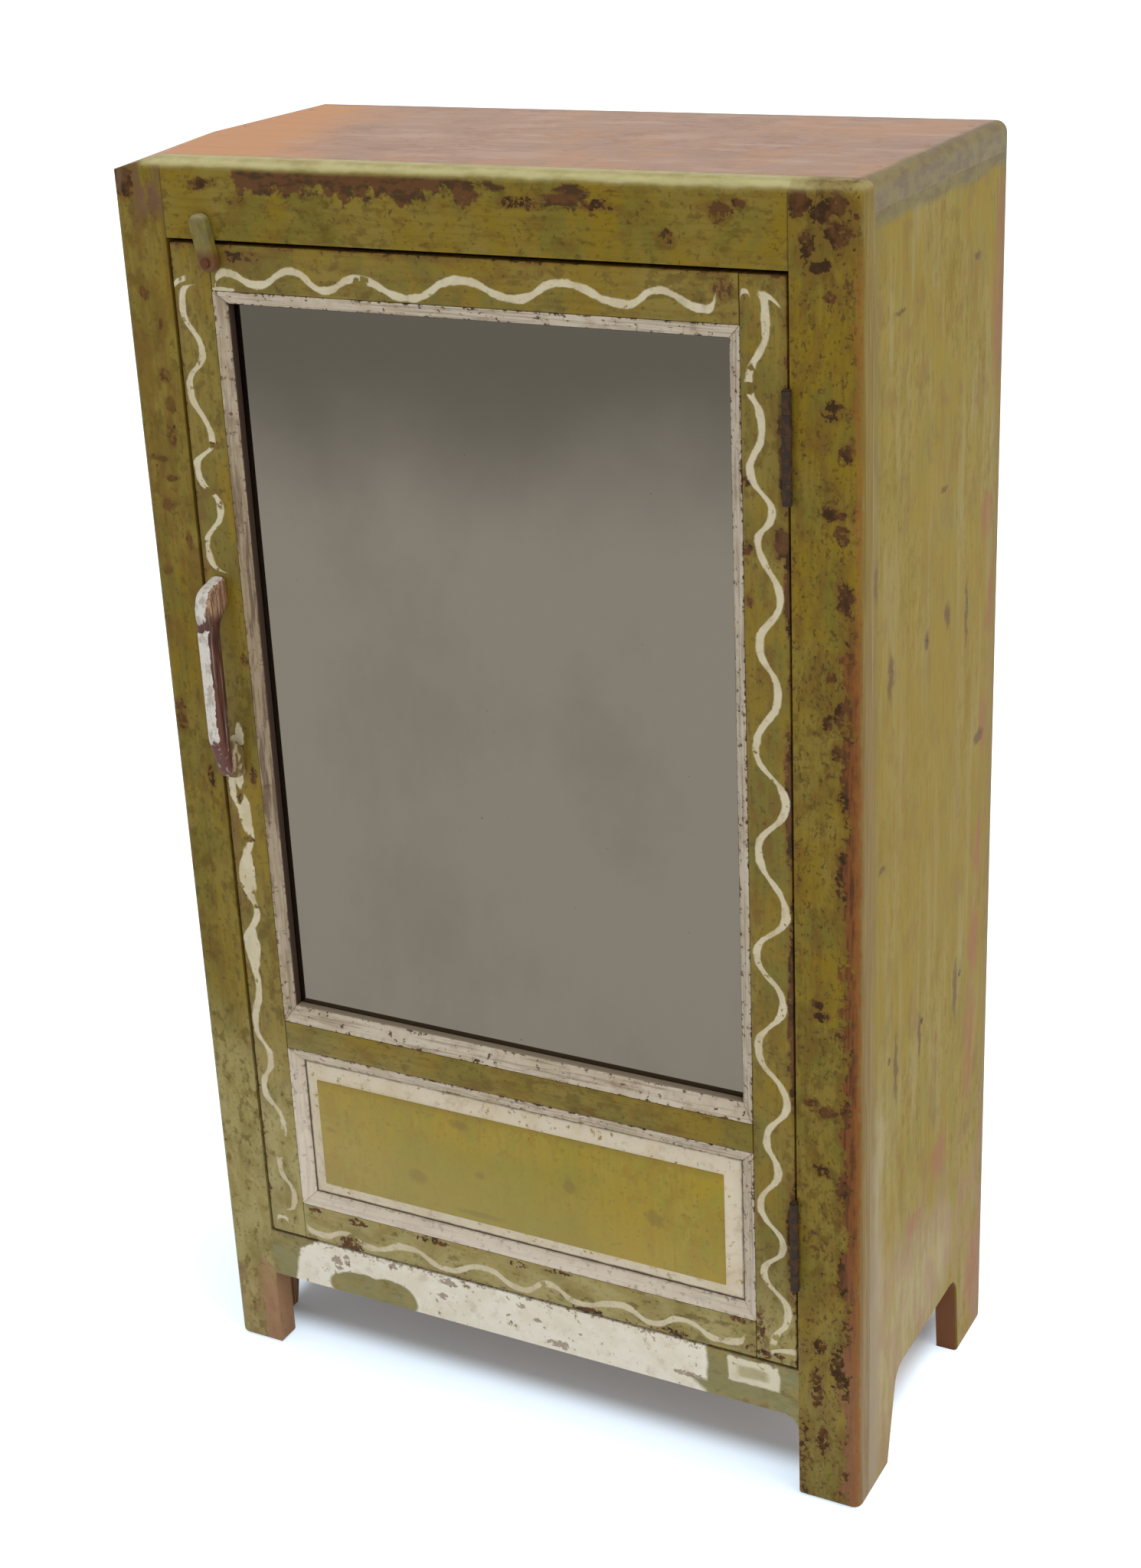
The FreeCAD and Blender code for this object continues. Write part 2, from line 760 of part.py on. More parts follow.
tongue = panel_room("tongue_reach", "panel_seat", tongue_back)
slope = bind(
    doc.addObject("Part::Wedge", "slope"),
    Xmin="panel_moulding_width - inside_width / 2",
    Xmax="inside_width / 2 - panel_moulding_width",
    X2min="field_inset - inside_width / 2",
    X2max="inside_width / 2 - field_inset",
    Ymin=ZERO,
    Ymax="panel_seat_depth - field_depth - field_step",
    Zmin="panel_moulding_width - panel_opening_height / 2",
    Zmax="panel_opening_height / 2 - panel_moulding_width",
    Z2min="field_inset - panel_opening_height / 2",
    Z2max="panel_opening_height / 2 - field_inset",
)
slope.Placement.Rotation = FreeCAD.Rotation(FreeCAD.Vector(0, 0, 1), 180)
place(slope, ("inside_middle", "panel_seat", "(panel_low + panel_high) / 2"))
field = block(
    ("inside_left + field_inset", "front_face + field_depth", "panel_low + field_inset"),
    ("inside_right - field_inset", "panel_seat", "panel_high - field_inset"),
)
node("raised_panel", fuse(tongue, slope, field))

# Bow handle

handle_body = doc.addObject("PartDesign::Body", "handle_body")
handle_outline = outline(
    handle_body,
    "YZ_Plane",
    [
        ("handle_reach", ""),
        ("handle_tail_drop", ""),
        ("", "handle_slope_length"),
        ("", "handle_crown"),
        ("handle_reach", "handle_length"),
        ("handle_reach", "handle_top_foot"),
        ("handle_grip_thickness", "handle_gap_top"),
        ("handle_grip_thickness", "handle_gap_low"),
        ("handle_reach", "handle_end_length"),
    ],
)
handle_pad = padded(handle_body, handle_outline, "handle_width", midplane=True)
handle_bow = body_fillet(
    handle_body,
    handle_pad,
    "handle_bend_radius",
    lambda edge: same(edge.CenterOfMass.x, 0) and not lies(edge, y=size("handle_reach")),
)
handle_soft = body_fillet(
    handle_body,
    handle_bow,
    "handle_edge_radius",
    lambda edge: same(abs(edge.CenterOfMass.x), size("handle_width") / 2) and not lies(edge, y=size("handle_reach")),
)
handle_body.Tip = handle_soft
place(handle_body, ("handle_middle", "handle_front", "handle_low"))
node("pull_handle", cut(handle_body, handle_screw_holes))

# Turn button: drawn upright round its pivot, then leaned over

button_head = "button_length - button_width"
button_bar = block(
    ("-button_width / 2", "-button_thickness", ZERO),
    ("button_width / 2", ZERO, button_head),
)
button_tail = rod((ZERO, "-button_thickness", ZERO), "+y", "button_width / 2", "button_thickness")
button_crown = rod((ZERO, "-button_thickness", button_head), "+y", "button_width / 2", "button_thickness")
button_soft = rounded(
    fuse(button_bar, button_tail, button_crown),
    "button_edge_radius",
    lambda edge: lies(edge, y=-size("button_thickness")),
)
button_bore = rod(
    (ZERO, "-button_thickness - overrun", ZERO),
    "+y",
    "button_screw_radius + turning_clearance",
    "button_thickness + 2 * overrun",
)
button = cut(button_soft, button_bore)
button.Placement.Rotation = FreeCAD.Rotation(FreeCAD.Vector(0, 1, 0), size("button_lean_degrees"))
node("turn_button", place(button, ("button_across", "button_back", "button_up")))

screw_front = "front_face - button_face_gap - button_thickness - turning_clearance"
screw_head = rod(
    ("button_across", f"{screw_front} - button_screw_head_height", "button_up"),
    "+y",
    "button_screw_head_radius",
    "button_screw_head_height",
)
screw_shank = rod(button_pivot, "+y", "button_screw_radius", button_screw_length)
screw_neck = rod(("button_across", screw_front, "button_up"), "+y", "button_screw_radius", "turning_clearance")
node("button_screw", fuse(screw_head, screw_neck, screw_shank))

# Butt hinges: two leaves let into the wood and a pin through their knuckles


def knuckles(low, numbers, radius, end_gap):
    """Stretches of the hinge barrel."""
    return [
        rod(
            ("hinge_across", "hinge_out", f"{low} + {number} * knuckle_length + {end_gap}"),
            "+z",
            radius,
            f"knuckle_length - 2 * {end_gap}",
        )
        for number in numbers
    ]


def leaf(low, side):
    """A leaf with its own knuckles, clear of the other leaf's."""
    own, other = (CASE_KNUCKLES, DOOR_KNUCKLES) if side == "case" else (DOOR_KNUCKLES, CASE_KNUCKLES)
    near, far = {
        "case": ("hinge_across + leaf_gap / 2", case_leaf_far),
        "door": (door_leaf_near, "hinge_across - leaf_gap / 2"),
    }[side]
    plate = block((near, "hinge_out", low), (far, "leaf_end", f"{low} + hinge_length"))
    own_gap = ZERO if side == "case" else "knuckle_end_gap"
    other_gap = ZERO if side == "case" else "-knuckle_end_gap"
    room = knuckles(low, other, "knuckle_radius + knuckle_face_gap", other_gap)
    bore = rod(
        ("hinge_across", "hinge_out", f"{low} - overrun"),
        "+z",
        "pin_radius + turning_clearance",
        "hinge_length + 2 * overrun",
    )
    holes = hinge_case_screw_holes if side == "case" else hinge_door_screw_holes
    return cut(fuse(cut(plate, *room), *knuckles(low, own, "knuckle_radius", own_gap)), bore, holes)


for hinge, low in zip(("lower", "upper"), hinge_lows):
    node(f"{hinge}_hinge_case_leaf", leaf(low, "case"))
    node(f"{hinge}_hinge_door_leaf", leaf(low, "door"))
    pin_shaft = rod(("hinge_across", "hinge_out", low), "+z", "pin_radius", "hinge_length")
    pin_head = rod(
        ("hinge_across", "hinge_out", f"{low} + hinge_length"),
        "+z",
        "pin_head_radius",
        "pin_head_height",
    )
    node(f"{hinge}_hinge_pin", fuse(pin_shaft, pin_head))

# Check and export

doc.recompute()
failed = [piece.Label for piece in doc.Objects if {"Invalid", "Error"} & set(piece.State)]
bad = [piece.Label for piece in nodes if piece.Shape.isNull() or not piece.Shape.isValid()]
if failed or bad:
    raise RuntimeError(f"failed: {failed}, bad shapes: {bad}")

os.makedirs("parts", exist_ok=True)
for piece in nodes:
    piece.Shape.exportStep(f"parts/{piece.Label}.step")
    print(f"{piece.Label}: {len(piece.Shape.Solids)} solids, {piece.Shape.Volume:.0f} mm3")
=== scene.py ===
import logging
import math
from collections.abc import Iterator
from contextlib import contextmanager
from dataclasses import dataclass
from enum import Enum
from typing import Union

import bpy
from mathutils import Matrix, Vector


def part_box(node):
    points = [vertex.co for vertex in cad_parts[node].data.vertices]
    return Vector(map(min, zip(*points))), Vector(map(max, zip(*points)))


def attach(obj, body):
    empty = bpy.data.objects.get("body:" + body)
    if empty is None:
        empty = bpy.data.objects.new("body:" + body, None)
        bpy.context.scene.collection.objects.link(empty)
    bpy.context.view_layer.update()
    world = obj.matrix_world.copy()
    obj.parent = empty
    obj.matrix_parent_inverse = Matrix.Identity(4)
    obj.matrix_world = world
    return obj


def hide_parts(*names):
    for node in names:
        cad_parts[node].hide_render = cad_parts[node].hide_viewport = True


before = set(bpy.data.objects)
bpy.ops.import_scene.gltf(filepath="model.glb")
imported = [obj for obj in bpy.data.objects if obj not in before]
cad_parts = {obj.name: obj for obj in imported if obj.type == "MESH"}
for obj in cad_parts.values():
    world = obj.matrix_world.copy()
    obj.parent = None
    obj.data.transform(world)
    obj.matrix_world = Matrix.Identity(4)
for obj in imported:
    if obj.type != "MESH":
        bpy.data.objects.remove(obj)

LOG = logging.getLogger("cupboard")
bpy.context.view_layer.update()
IMAGE_HEIGHT = 2048.0
SENSOR_HEIGHT = 36.0
MM = 0.001
THROUGH = 1000.0
SEED_STEP = (7.31, 3.17, 5.53)
SHARP_ANGLE = math.radians(20.0)
SMOOTH_ANGLE = math.radians(32.0)
FLAT_ANGLE = math.radians(0.5)
MERGE_DISTANCE = 0.01 * MM
NEARLY_ALL = 0.99
FINE = 5.0
MEDIUM = 4.0
FLOOR_SHEEN_SLOPE = 0.27
BLOT_SOFT = (1.3, 0.5)
SMOOTHING = 0.5

Colour = tuple[float, float, float]
Triple = tuple[float, float, float]
Row = tuple[float, float, float, float]
Spot = tuple[float, float]
Tint = Union[Colour, bpy.types.NodeSocket]
Number = Union[float, "Channel"]


# Shader maths


class Channel:
    """A number that changes over a surface. Arithmetic on it adds Math nodes."""

    def __init__(self, shader: "Shader", socket: bpy.types.NodeSocket) -> None:
        """Wraps a node's output socket."""
        self.shader = shader
        self.socket = socket

    def math(self, operation: str, *others: Number) -> "Channel":
        """Adds one Math node that works on this number and the others.

        Args:
            operation: the Math node's operation.
            others: the numbers that go in after this one.
        Returns:
            The result.
        """
        sockets = dict(enumerate((self, *others)))
        node = self.shader.add("ShaderNodeMath", {"operation": operation}, sockets)
        return Channel(self.shader, node.outputs[0])

    def __add__(self, other: Number) -> "Channel":
        """Adds."""
        return self.math("ADD", other)

    def __radd__(self, other: Number) -> "Channel":
        """Adds, with a plain number on the left."""
        return self.math("ADD", other)

    def __sub__(self, other: Number) -> "Channel":
        """Takes away."""
        return self.math("SUBTRACT", other)

    def __rsub__(self, other: Number) -> "Channel":
        """Takes this number away from a plain one."""
        return self.math("MULTIPLY_ADD", -1.0, other)

    def __mul__(self, other: Number) -> "Channel":
        """Multiplies."""
        return self.math("MULTIPLY", other)

    def __rmul__(self, other: Number) -> "Channel":
        """Multiplies, with a plain number on the left."""
        return self.math("MULTIPLY", other)

    def __truediv__(self, other: Number) -> "Channel":
        """Divides."""
        return self.math("DIVIDE", other)

    def __abs__(self) -> "Channel":
        """Drops the sign."""
        return self.math("ABSOLUTE")

    def least(self, other: Number) -> "Channel":
        """Gives the smaller of two numbers."""
        return self.math("MINIMUM", other)

    def most(self, other: Number) -> "Channel":
        """Gives the larger of two numbers."""
        return self.math("MAXIMUM", other)

    def ramp(self, start: float, end: float) -> "Channel":
        """Rises smoothly from 0 at the start to 1 at the end, which may be the lower of the two.

        Args:
            start: the value at which the ramp is 0.
            end: the value at which the ramp is 1.
        Returns:
            A number from 0 to 1.
        """
        sockets = {"Value": self, "From Min": start, "From Max": end}
        node = self.shader.add("ShaderNodeMapRange", {"interpolation_type": "SMOOTHSTEP"}, sockets)
        return Channel(self.shader, node.outputs[0])

    def within(self, low: float, high: float, soft: float) -> "Channel":
        """Gives 1 between two values and 0 outside them.

        Args:
            low: the lower value.
            high: the higher value.
            soft: half the width of the soft borders.
        Returns:
            A number from 0 to 1.
        """
        return self.ramp(low - soft, low + soft) * self.ramp(high + soft, high - soft)


class Grain(Enum):
    """The way that the grain of a board runs."""

    ACROSS = 0
    UP = 2

    def stretch(self, width: float, length: float) -> Triple:
        """Gives a cloud size that is long along the grain.

        Args:
            width: the size across the grain, in millimetres.
            length: the size along the grain, in millimetres.
        Returns:
            The sizes along x, y and z.
        """
        size = [width, width, width]
        size[self.value] = length
        return tuple(size)


class Shader:
    """One material and the nodes that make it."""

    def __init__(self, name: str) -> None:
        """Starts a material with no nodes but its coordinates."""
        self.material = bpy.data.materials.new(name)
        self.open(self.material)
        self.here = self.add("ShaderNodeTexCoord").outputs["Object"]
        parts = self.add("ShaderNodeSeparateXYZ", {}, {"Vector": self.here})
        self.x, self.y, self.z = (Channel(self, parts.outputs[axis]) / MM for axis in "XYZ")

    def open(self, owner: bpy.types.Material | bpy.types.World) -> None:
        """Takes over the nodes of a material or a world, and clears them."""
        owner.use_nodes = True
        self.tree = owner.node_tree
        self.tree.nodes.clear()

    def add(self, kind: str, settings: dict | None = None, sockets: dict | None = None) -> bpy.types.Node:
        """Adds a node.

        Args:
            kind: the node's type.
            settings: its settings, which are set first. The points of a curve are one of them.
            sockets: values or links for its inputs, by name or number.
        Returns:
            The node.
        """
        node = self.tree.nodes.new(kind)
        for name, value in (settings or {}).items():
            if name == "points":
                self.bend_curve(node, value)
            else:
                setattr(node, name, value)
        for key, value in (sockets or {}).items():
            socket = node.inputs[key]
            source = getattr(value, "socket", value)
            if isinstance(source, bpy.types.NodeSocket):
                self.tree.links.new(source, socket)
            elif socket.type == "RGBA":
                socket.default_value = (*value, 1.0)
            else:
                socket.default_value = value
        return node

    @staticmethod
    def bend_curve(node: bpy.types.Node, points: list[Spot]) -> None:
        """Puts a curve node's line through points.

        Args:
            node: the curve node.
            points: the points, from left to right, with both numbers from 0 to 1.
        """
        line = node.mapping.curves[0]
        line.points[0].location = points[0]
        line.points[1].location = points[-1]
        for point in points[1:-1]:
            line.points.new(*point)
        node.mapping.update()

    def mix(self, mask: Number, under: Tint, over: Tint) -> bpy.types.NodeSocket:
        """Mixes two colours.

        Args:
            mask: 0 for the first colour, 1 for the second.
            under: the first colour.
            over: the second colour.
        Returns:
            The mixed colour.
        """
        sockets = {0: mask, 6: under, 7: over}
        return self.add("ShaderNodeMix", {"data_type": "RGBA"}, sockets).outputs[2]

    def cloud(self, size: float | Triple, seed: float, detail: float) -> bpy.types.Node:
        """Adds a cloudy pattern.

        Args:
            size: the width of the clouds, all ways alike or along x, y and z, in millimetres.
            seed: a number that moves the pattern, so that no two pieces match.
            detail: how many finer layers it has.
        Returns:
            The noise node.
        """
        widths = (size,) * 3 if isinstance(size, float) else size
        scale = tuple(1.0 / (MM * width) for width in widths)
        place = tuple(step * seed for step in SEED_STEP)
        sockets = {"Vector": self.here, "Location": place, "Scale": scale}
        spread = self.add("ShaderNodeMapping", {}, sockets)
        sockets = {"Vector": spread.outputs[0], "Scale": 1.0, "Detail": detail, "Roughness": 0.6}
        return self.add("ShaderNodeTexNoise", {}, sockets)

    def noise(self, size: float | Triple, seed: float, detail: float = FINE) -> Channel:
        """Gives the strength of a cloudy pattern, from 0 to 1 and mostly near a half."""
        return Channel(self, self.cloud(size, seed, detail).outputs[0])

    def ragged(self, place: Channel, amount: float, size: float, seed: float) -> Channel:
        """Makes a coordinate waver, so that a border drawn with it is ragged.

        Args:
            place: the coordinate, in millimetres.
            amount: how far it wavers.
            size: the length of the wavers.
            seed: a number that moves them.
        Returns:
            The wavering coordinate.
        """
        return place + (self.noise(size, seed, MEDIUM) - 0.5) * (4.0 * amount)

    def shifted(self, amount: float, size: float, seed: float) -> bpy.types.NodeSocket:
        """Shifts the place on the surface unevenly, so that what is drawn there has ragged borders.

        Args:
            amount: how far it shifts, in millimetres.
            size: the length of the shifts.
            seed: a number that moves them.
        Returns:
            The shifted place.
        """
        reach = 4.0 * amount * MM
        cloud = self.cloud(size, seed, MEDIUM).outputs["Color"]
        sockets = {0: cloud, 1: (reach,) * 3, 2: (-reach / 2,) * 3}
        shift = self.add("ShaderNodeVectorMath", {"operation": "MULTIPLY_ADD"}, sockets)
        sockets = {0: self.here, 1: shift.outputs[0]}
        return self.add("ShaderNodeVectorMath", {"operation": "ADD"}, sockets).outputs[0]

    def floor_sheen_rise(self) -> Channel:
        """Gives the height over the line that the painted reflection of the white floor reaches, which
        falls to the right.
        """
        return self.z + self.x * FLOOR_SHEEN_SLOPE

    def blots(
        self, marks: tuple["Blot", ...], seed: float, ragged: float = 2.2, size: float = 14.0
    ) -> Channel:
        """Draws soft-edged marks.

        Args:
            marks: the marks.
            seed: a number that moves their raggedness.
            ragged: how ragged their borders are, in millimetres.
            size: the length of the rags.
        Returns:
            A number that is 1 in the middle of each mark.
        """
        place = self.shifted(ragged, size, seed)
        total = self.x * 0.0
        for mark in marks:
            middle = tuple(MM * value for value in mark.middle)
            reach = tuple(MM * value for value in mark.reach)
            sockets = {"Vector": place, "Location": middle, "Scale": reach}
            spread = self.add("ShaderNodeMapping", {"vector_type": "TEXTURE"}, sockets)
            far = self.add("ShaderNodeVectorMath", {"operation": "LENGTH"}, {0: spread.outputs[0]})
            total = Channel(self, far.outputs["Value"]).ramp(*BLOT_SOFT).most(total)
        return total


class SkyShader(Shader):
    """The nodes of the world."""

    def __init__(self, world: bpy.types.World) -> None:
        """Starts with an empty world."""
        self.open(world)


class Coats:
    """The layers of one finish, laid one over another from the wood outwards."""

    def __init__(self, name: str, colour: Tint, rough: float) -> None:
        """Starts with the lowest layer."""
        self.shader = Shader(name)
        self.colour = colour
        self.rough: Number = rough
        self.height: Number = 0.0

    def lay(self, mask: Channel, colour: Tint, rough: float, lift: float = 0.0) -> None:
        """Lays a layer over those that are there.

        Args:
            mask: 1 where the layer covers, 0 where it leaves the others bare.
            colour: its colour.
            rough: its roughness.
            lift: its thickness, in millimetres.
        """
        self.colour = self.shader.mix(mask, self.colour, colour)
        self.rough = self.rough + mask * (rough - self.rough)
        self.height = self.height + mask * lift

    def paint_floor_sheen(self, amount: float, seed: float, pale: Colour) -> None:
        """Paints a pale sheen near the floor, and higher up at the left: a painted reflection of the white
        floor.

        Args:
            amount: how much of the paint's colour goes.
            seed: a number that moves the pattern.
            pale: the colour that it goes towards.
        """
        rise = self.shader.ragged(self.shader.floor_sheen_rise(), 7.0, 40.0, seed)
        self.lay(rise.ramp(314.0, 158.0) * amount, pale, 0.5)

    def close(self, specular: float = 0.4, metallic: float = 0.0) -> bpy.types.Material:
        """Joins the layers to a surface.

        Args:
            specular: how strongly it shines.
            metallic: 1 for metal.
        Returns:
            The material.
        """
        sockets = {"Strength": 1.0, "Distance": MM, "Height": self.height}
        bump = self.shader.add("ShaderNodeBump", {}, sockets)
        sockets = {
            "Base Color": self.colour,
            "Roughness": self.rough,
            "Metallic": metallic,
            "Specular IOR Level": specular,
            "Normal": bump.outputs[0],
        }
        surface = self.shader.add("ShaderNodeBsdfPrincipled", {}, sockets)
        self.shader.add("ShaderNodeOutputMaterial", {}, {"Surface": surface.outputs[0]})
        return self.shader.material


# Finishes


@dataclass(frozen=True)
class BareWood:
    """Unpainted wood, browned by age."""

    pale: Colour
    dark: Colour
    rough: float = 0.68

    def start(self, name: str, grain: Grain, seed: float) -> Coats:
        """Makes the wood with its grain.

        Args:
            name: the material's name.
            grain: the way that the grain runs.
            seed: a number that moves the pattern.
        Returns:
            The finish so far.
        """
        coats = Coats(name, self.pale, self.rough)
        shader = coats.shader
        fibre = shader.noise(grain.stretch(2.2, 130.0), seed)
        band = shader.noise(grain.stretch(26.0, 420.0), seed + 1.0, 3.0)
        stain = shader.noise(110.0, seed + 2.0, 3.0)
        coats.lay(fibre.ramp(0.42, 0.68) * 0.65, self.dark, self.rough + 0.06)
        coats.lay(band.ramp(0.45, 0.62) * 0.45, self.dark, self.rough)
        coats.lay(stain.ramp(0.52, 0.72) * 0.4, self.dark, self.rough + 0.1)
        coats.height = coats.height - fibre * 0.35
        return coats

    def show(self, coats: Coats, bare: Channel, grain: Grain, seed: float, dark_from: float) -> None:
        """Shows the wood where a painted piece was never painted.

        Args:
            coats: the piece's finish so far.
            bare: 1 on the faces that were never painted.
            grain: the way that the grain runs.
            seed: a number that moves the pattern.
            dark_from: the strength at which the grain starts to be dark.
        """
        fibre = coats.shader.noise(grain.stretch(2.2, 130.0), seed)
        tint = coats.shader.mix(fibre.ramp(dark_from, dark_from + 0.24), self.pale, self.dark)
        coats.lay(bare, tint, self.rough)


@dataclass(frozen=True)
class Blot:
    """A mark: its middle, and half its size, along x, y and z in millimetres."""

    middle: Triple
    reach: Triple

    @classmethod
    def on_front(cls, *rows: Row) -> tuple["Blot", ...]:
        """Gives marks on faces that look forwards, from rows of x, z, and half the width and height."""
        return tuple(cls((x, 0.0, z), (width, THROUGH, height)) for x, z, width, height in rows)

    @classmethod
    def on_side(cls, *rows: Row) -> tuple["Blot", ...]:
        """Gives marks on faces that look sideways, from rows of y, z, and half the depth and height."""
        return tuple(cls((0.0, y, z), (THROUGH, depth, height)) for y, z, depth, height in rows)


@dataclass(frozen=True)
class OldPaint:
    """Brushed paint, smudged, rubbed thin and chipped, over a red-brown ground."""

    coat: Colour
    pale: Colour
    cast: Colour
    deep: Colour
    thin: Colour
    ground: Colour
    chip: Colour
    rough: float = 0.5
    speck: float = 0.5
    # sheen_tint: the pale colour of the painted reflection of the white floor
    sheen_tint: Colour = (0.5, 0.43, 0.19)

    def start(self, name: str, grain: Grain, seed: float) -> Coats:
        """Makes the ground that shows where the paint has gone.

        Args:
            name: the material's name.
            grain: the way that the grain runs.
            seed: a number that moves the pattern.
        Returns:
            The finish so far.
        """
        coats = Coats(name, self.ground, 0.62)
        fibre = coats.shader.noise(grain.stretch(2.0, 60.0), seed)
        patch = coats.shader.noise((13.0, 13.0, 18.0), seed + 0.5, MEDIUM)
        coats.lay(patch.ramp(0.44, 0.6), self.chip, 0.7)
        coats.lay(fibre.ramp(0.5, 0.7) * 0.5, self.chip, 0.72)
        coats.height = coats.height - fibre * 0.2
        return coats

    def cover(self, coats: Coats, wear: Number, grain: Grain, seed: float, floor_sheen: Number = 0.0) -> Channel:
        """Brushes the paint over the ground.

        Args:
            coats: the finish so far.
            wear: how worn the paint is: 0 for sound, about 0.3 for gone.
            grain: the way that the brush went.
            seed: a number that moves the pattern.
            floor_sheen: how strongly the painted reflection of the white floor pales the paint near the
                floor, and higher up at the left.
        Returns:
            A number that is 1 where the paint is sound.
        """
        shader = coats.shader
        drift = shader.noise((80.0, 80.0, 120.0), seed + 1.0, MEDIUM)
        tinge = shader.noise((40.0, 40.0, 56.0), seed + 2.0)
        streak = shader.noise(grain.stretch(3.4, 64.0), seed + 3.0)
        smear = shader.noise(grain.stretch(12.0, 26.0), seed + 4.0)
        fleck = shader.noise(3.8, seed + 5.0, 6.0)
        mottle = shader.noise(grain.stretch(7.0, 12.0), seed + 6.0, 6.0) + (drift - 0.5) * 0.5
        tint = shader.mix(drift.ramp(0.4, 0.6), self.coat, self.pale)
        tint = shader.mix(tinge.ramp(0.46, 0.62) * 0.85, tint, self.cast)
        tint = shader.mix(streak.ramp(0.45, 0.68) * 0.3, tint, self.deep)
        rubbed = (smear * 0.7 + tinge * 0.3 + wear * 1.2).ramp(0.48, 0.68)
        tint = shader.mix(rubbed * 0.75, tint, self.thin)
        # Painted reflection of the white floor: the paint is paler near the floor, and higher up at the
        # left
        low = shader.ragged(shader.floor_sheen_rise(), 9.0, 30.0, seed + 7.0).ramp(320.0, 165.0)
        sheen_patches = shader.noise(grain.stretch(16.0, 34.0), seed + 8.0).ramp(0.32, 0.64) * 0.6 + 0.4
        tint = shader.mix(low * sheen_patches * floor_sheen, tint, self.sheen_tint)
        tint = shader.mix(mottle.ramp(0.53, 0.66) * 0.6, tint, self.deep)
        tint = shader.mix(fleck.ramp(0.57, 0.68) * self.speck, tint, self.chip)
        sound = (fleck * 0.66 + smear * 0.34 + wear).ramp(0.7, 0.65)
        coats.lay(sound, tint, self.rough, 0.1)
        coats.rough = coats.rough + (drift - 0.5) * 0.3 + rubbed * 0.08
        coats.height = coats.height + streak * 0.18 + smear * 0.3
        return sound


@dataclass(frozen=True)
class CreamPaint:
    """Cream paint that has yellowed, with dirt in its brush marks."""

    clean: Colour
    yellow: Colour
    dirt: Colour
    rough: float = 0.48

    def tint(self, shader: Shader, seed: float) -> bpy.types.NodeSocket:
        """Mixes the colour of the paint with its dirt.

        Args:
            shader: the material that it goes into.
            seed: a number that moves the pattern.
        Returns:
            The colour.
        """
        age = shader.noise(30.0, seed, MEDIUM)
        smudge = shader.noise(12.0, seed + 0.5, MEDIUM)
        grit = shader.noise(4.0, seed + 1.0)
        colour = shader.mix(age.ramp(0.4, 0.65) * 0.75, self.clean, self.yellow)
        colour = shader.mix(smudge.ramp(0.52, 0.74) * 0.4, colour, self.dirt)
        return shader.mix(grit.ramp(0.58, 0.76) * 0.35, colour, self.dirt)

    def cover(self, coats: Coats, mask: Number, wear: Number, seed: float) -> None:
        """Lays the paint where a mask says, apart from its chips.

        Args:
            coats: the finish so far.
            mask: 1 where the paint goes.
            wear: how worn it is: 0 for sound, about 0.3 for gone.
            seed: a number that moves the pattern.
        """
        shader = coats.shader
        fleck = shader.noise(6.5, seed + 2.0, 6.0)
        sound = (fleck + wear).ramp(0.72, 0.62) * mask
        coats.lay(sound, self.tint(shader, seed), self.rough, 0.14)


@dataclass(frozen=True)
class WaveLine:
    """A wavy line, painted by hand along a rail or a stile of the door."""

    turns: tuple[Spot, ...]
    upright: bool
    width: float = 5.8

    def mask(self, shader: Shader, seed: float) -> Channel:
        """Draws the line through the places where the brush turned.

        Args:
            shader: the material that it goes into.
            seed: a number that moves its unevenness.
        Returns:
            A number that is 1 on the line.
        """
        along, across = (shader.z, shader.x) if self.upright else (shader.x, shader.z)
        turns = sorted(self.turns)
        start, length = turns[0][0], turns[-1][0] - turns[0][0]
        offsets = [offset for _, offset in turns]
        low, swing = min(offsets), max(offsets) - min(offsets)
        share = (along - start) / length
        points = [((place - start) / length, (offset - low) / swing) for place, offset in turns]
        line = shader.add("ShaderNodeFloatCurve", {"points": points}, {"Value": share})
        middle = Channel(shader, line.outputs[0]) * swing + low
        uneven = shader.noise(14.0, seed, 3.0)
        distance = abs(across - middle) + (uneven - 0.5) * 5.0
        ends = (along - start).ramp(-1.5, 1.5) * (along - turns[-1][0]).ramp(1.5, -1.5)
        return distance.ramp(self.width / 2 + 0.7, self.width / 2 - 0.7) * ends


@dataclass(frozen=True)
class OldIron:
    """Iron gone dark, with brown rust."""

    dark: Colour = (0.034, 0.022, 0.014)
    rust: Colour = (0.085, 0.042, 0.02)

    def material(self, name: str, seed: float) -> bpy.types.Material:
        """Makes the finish.

        Args:
            name: the material's name.
            seed: a number that moves the pattern.
        Returns:
            The material.
        """
        coats = Coats(name, self.dark, 0.6)
        spot = coats.shader.noise(5.0, seed)
        pit = coats.shader.noise(1.6, seed + 1.0, MEDIUM)
        coats.lay(spot.ramp(0.45, 0.6), self.rust, 0.8, 0.05)
        coats.height = coats.height - pit * 0.25
        return coats.close(0.2, 0.1)


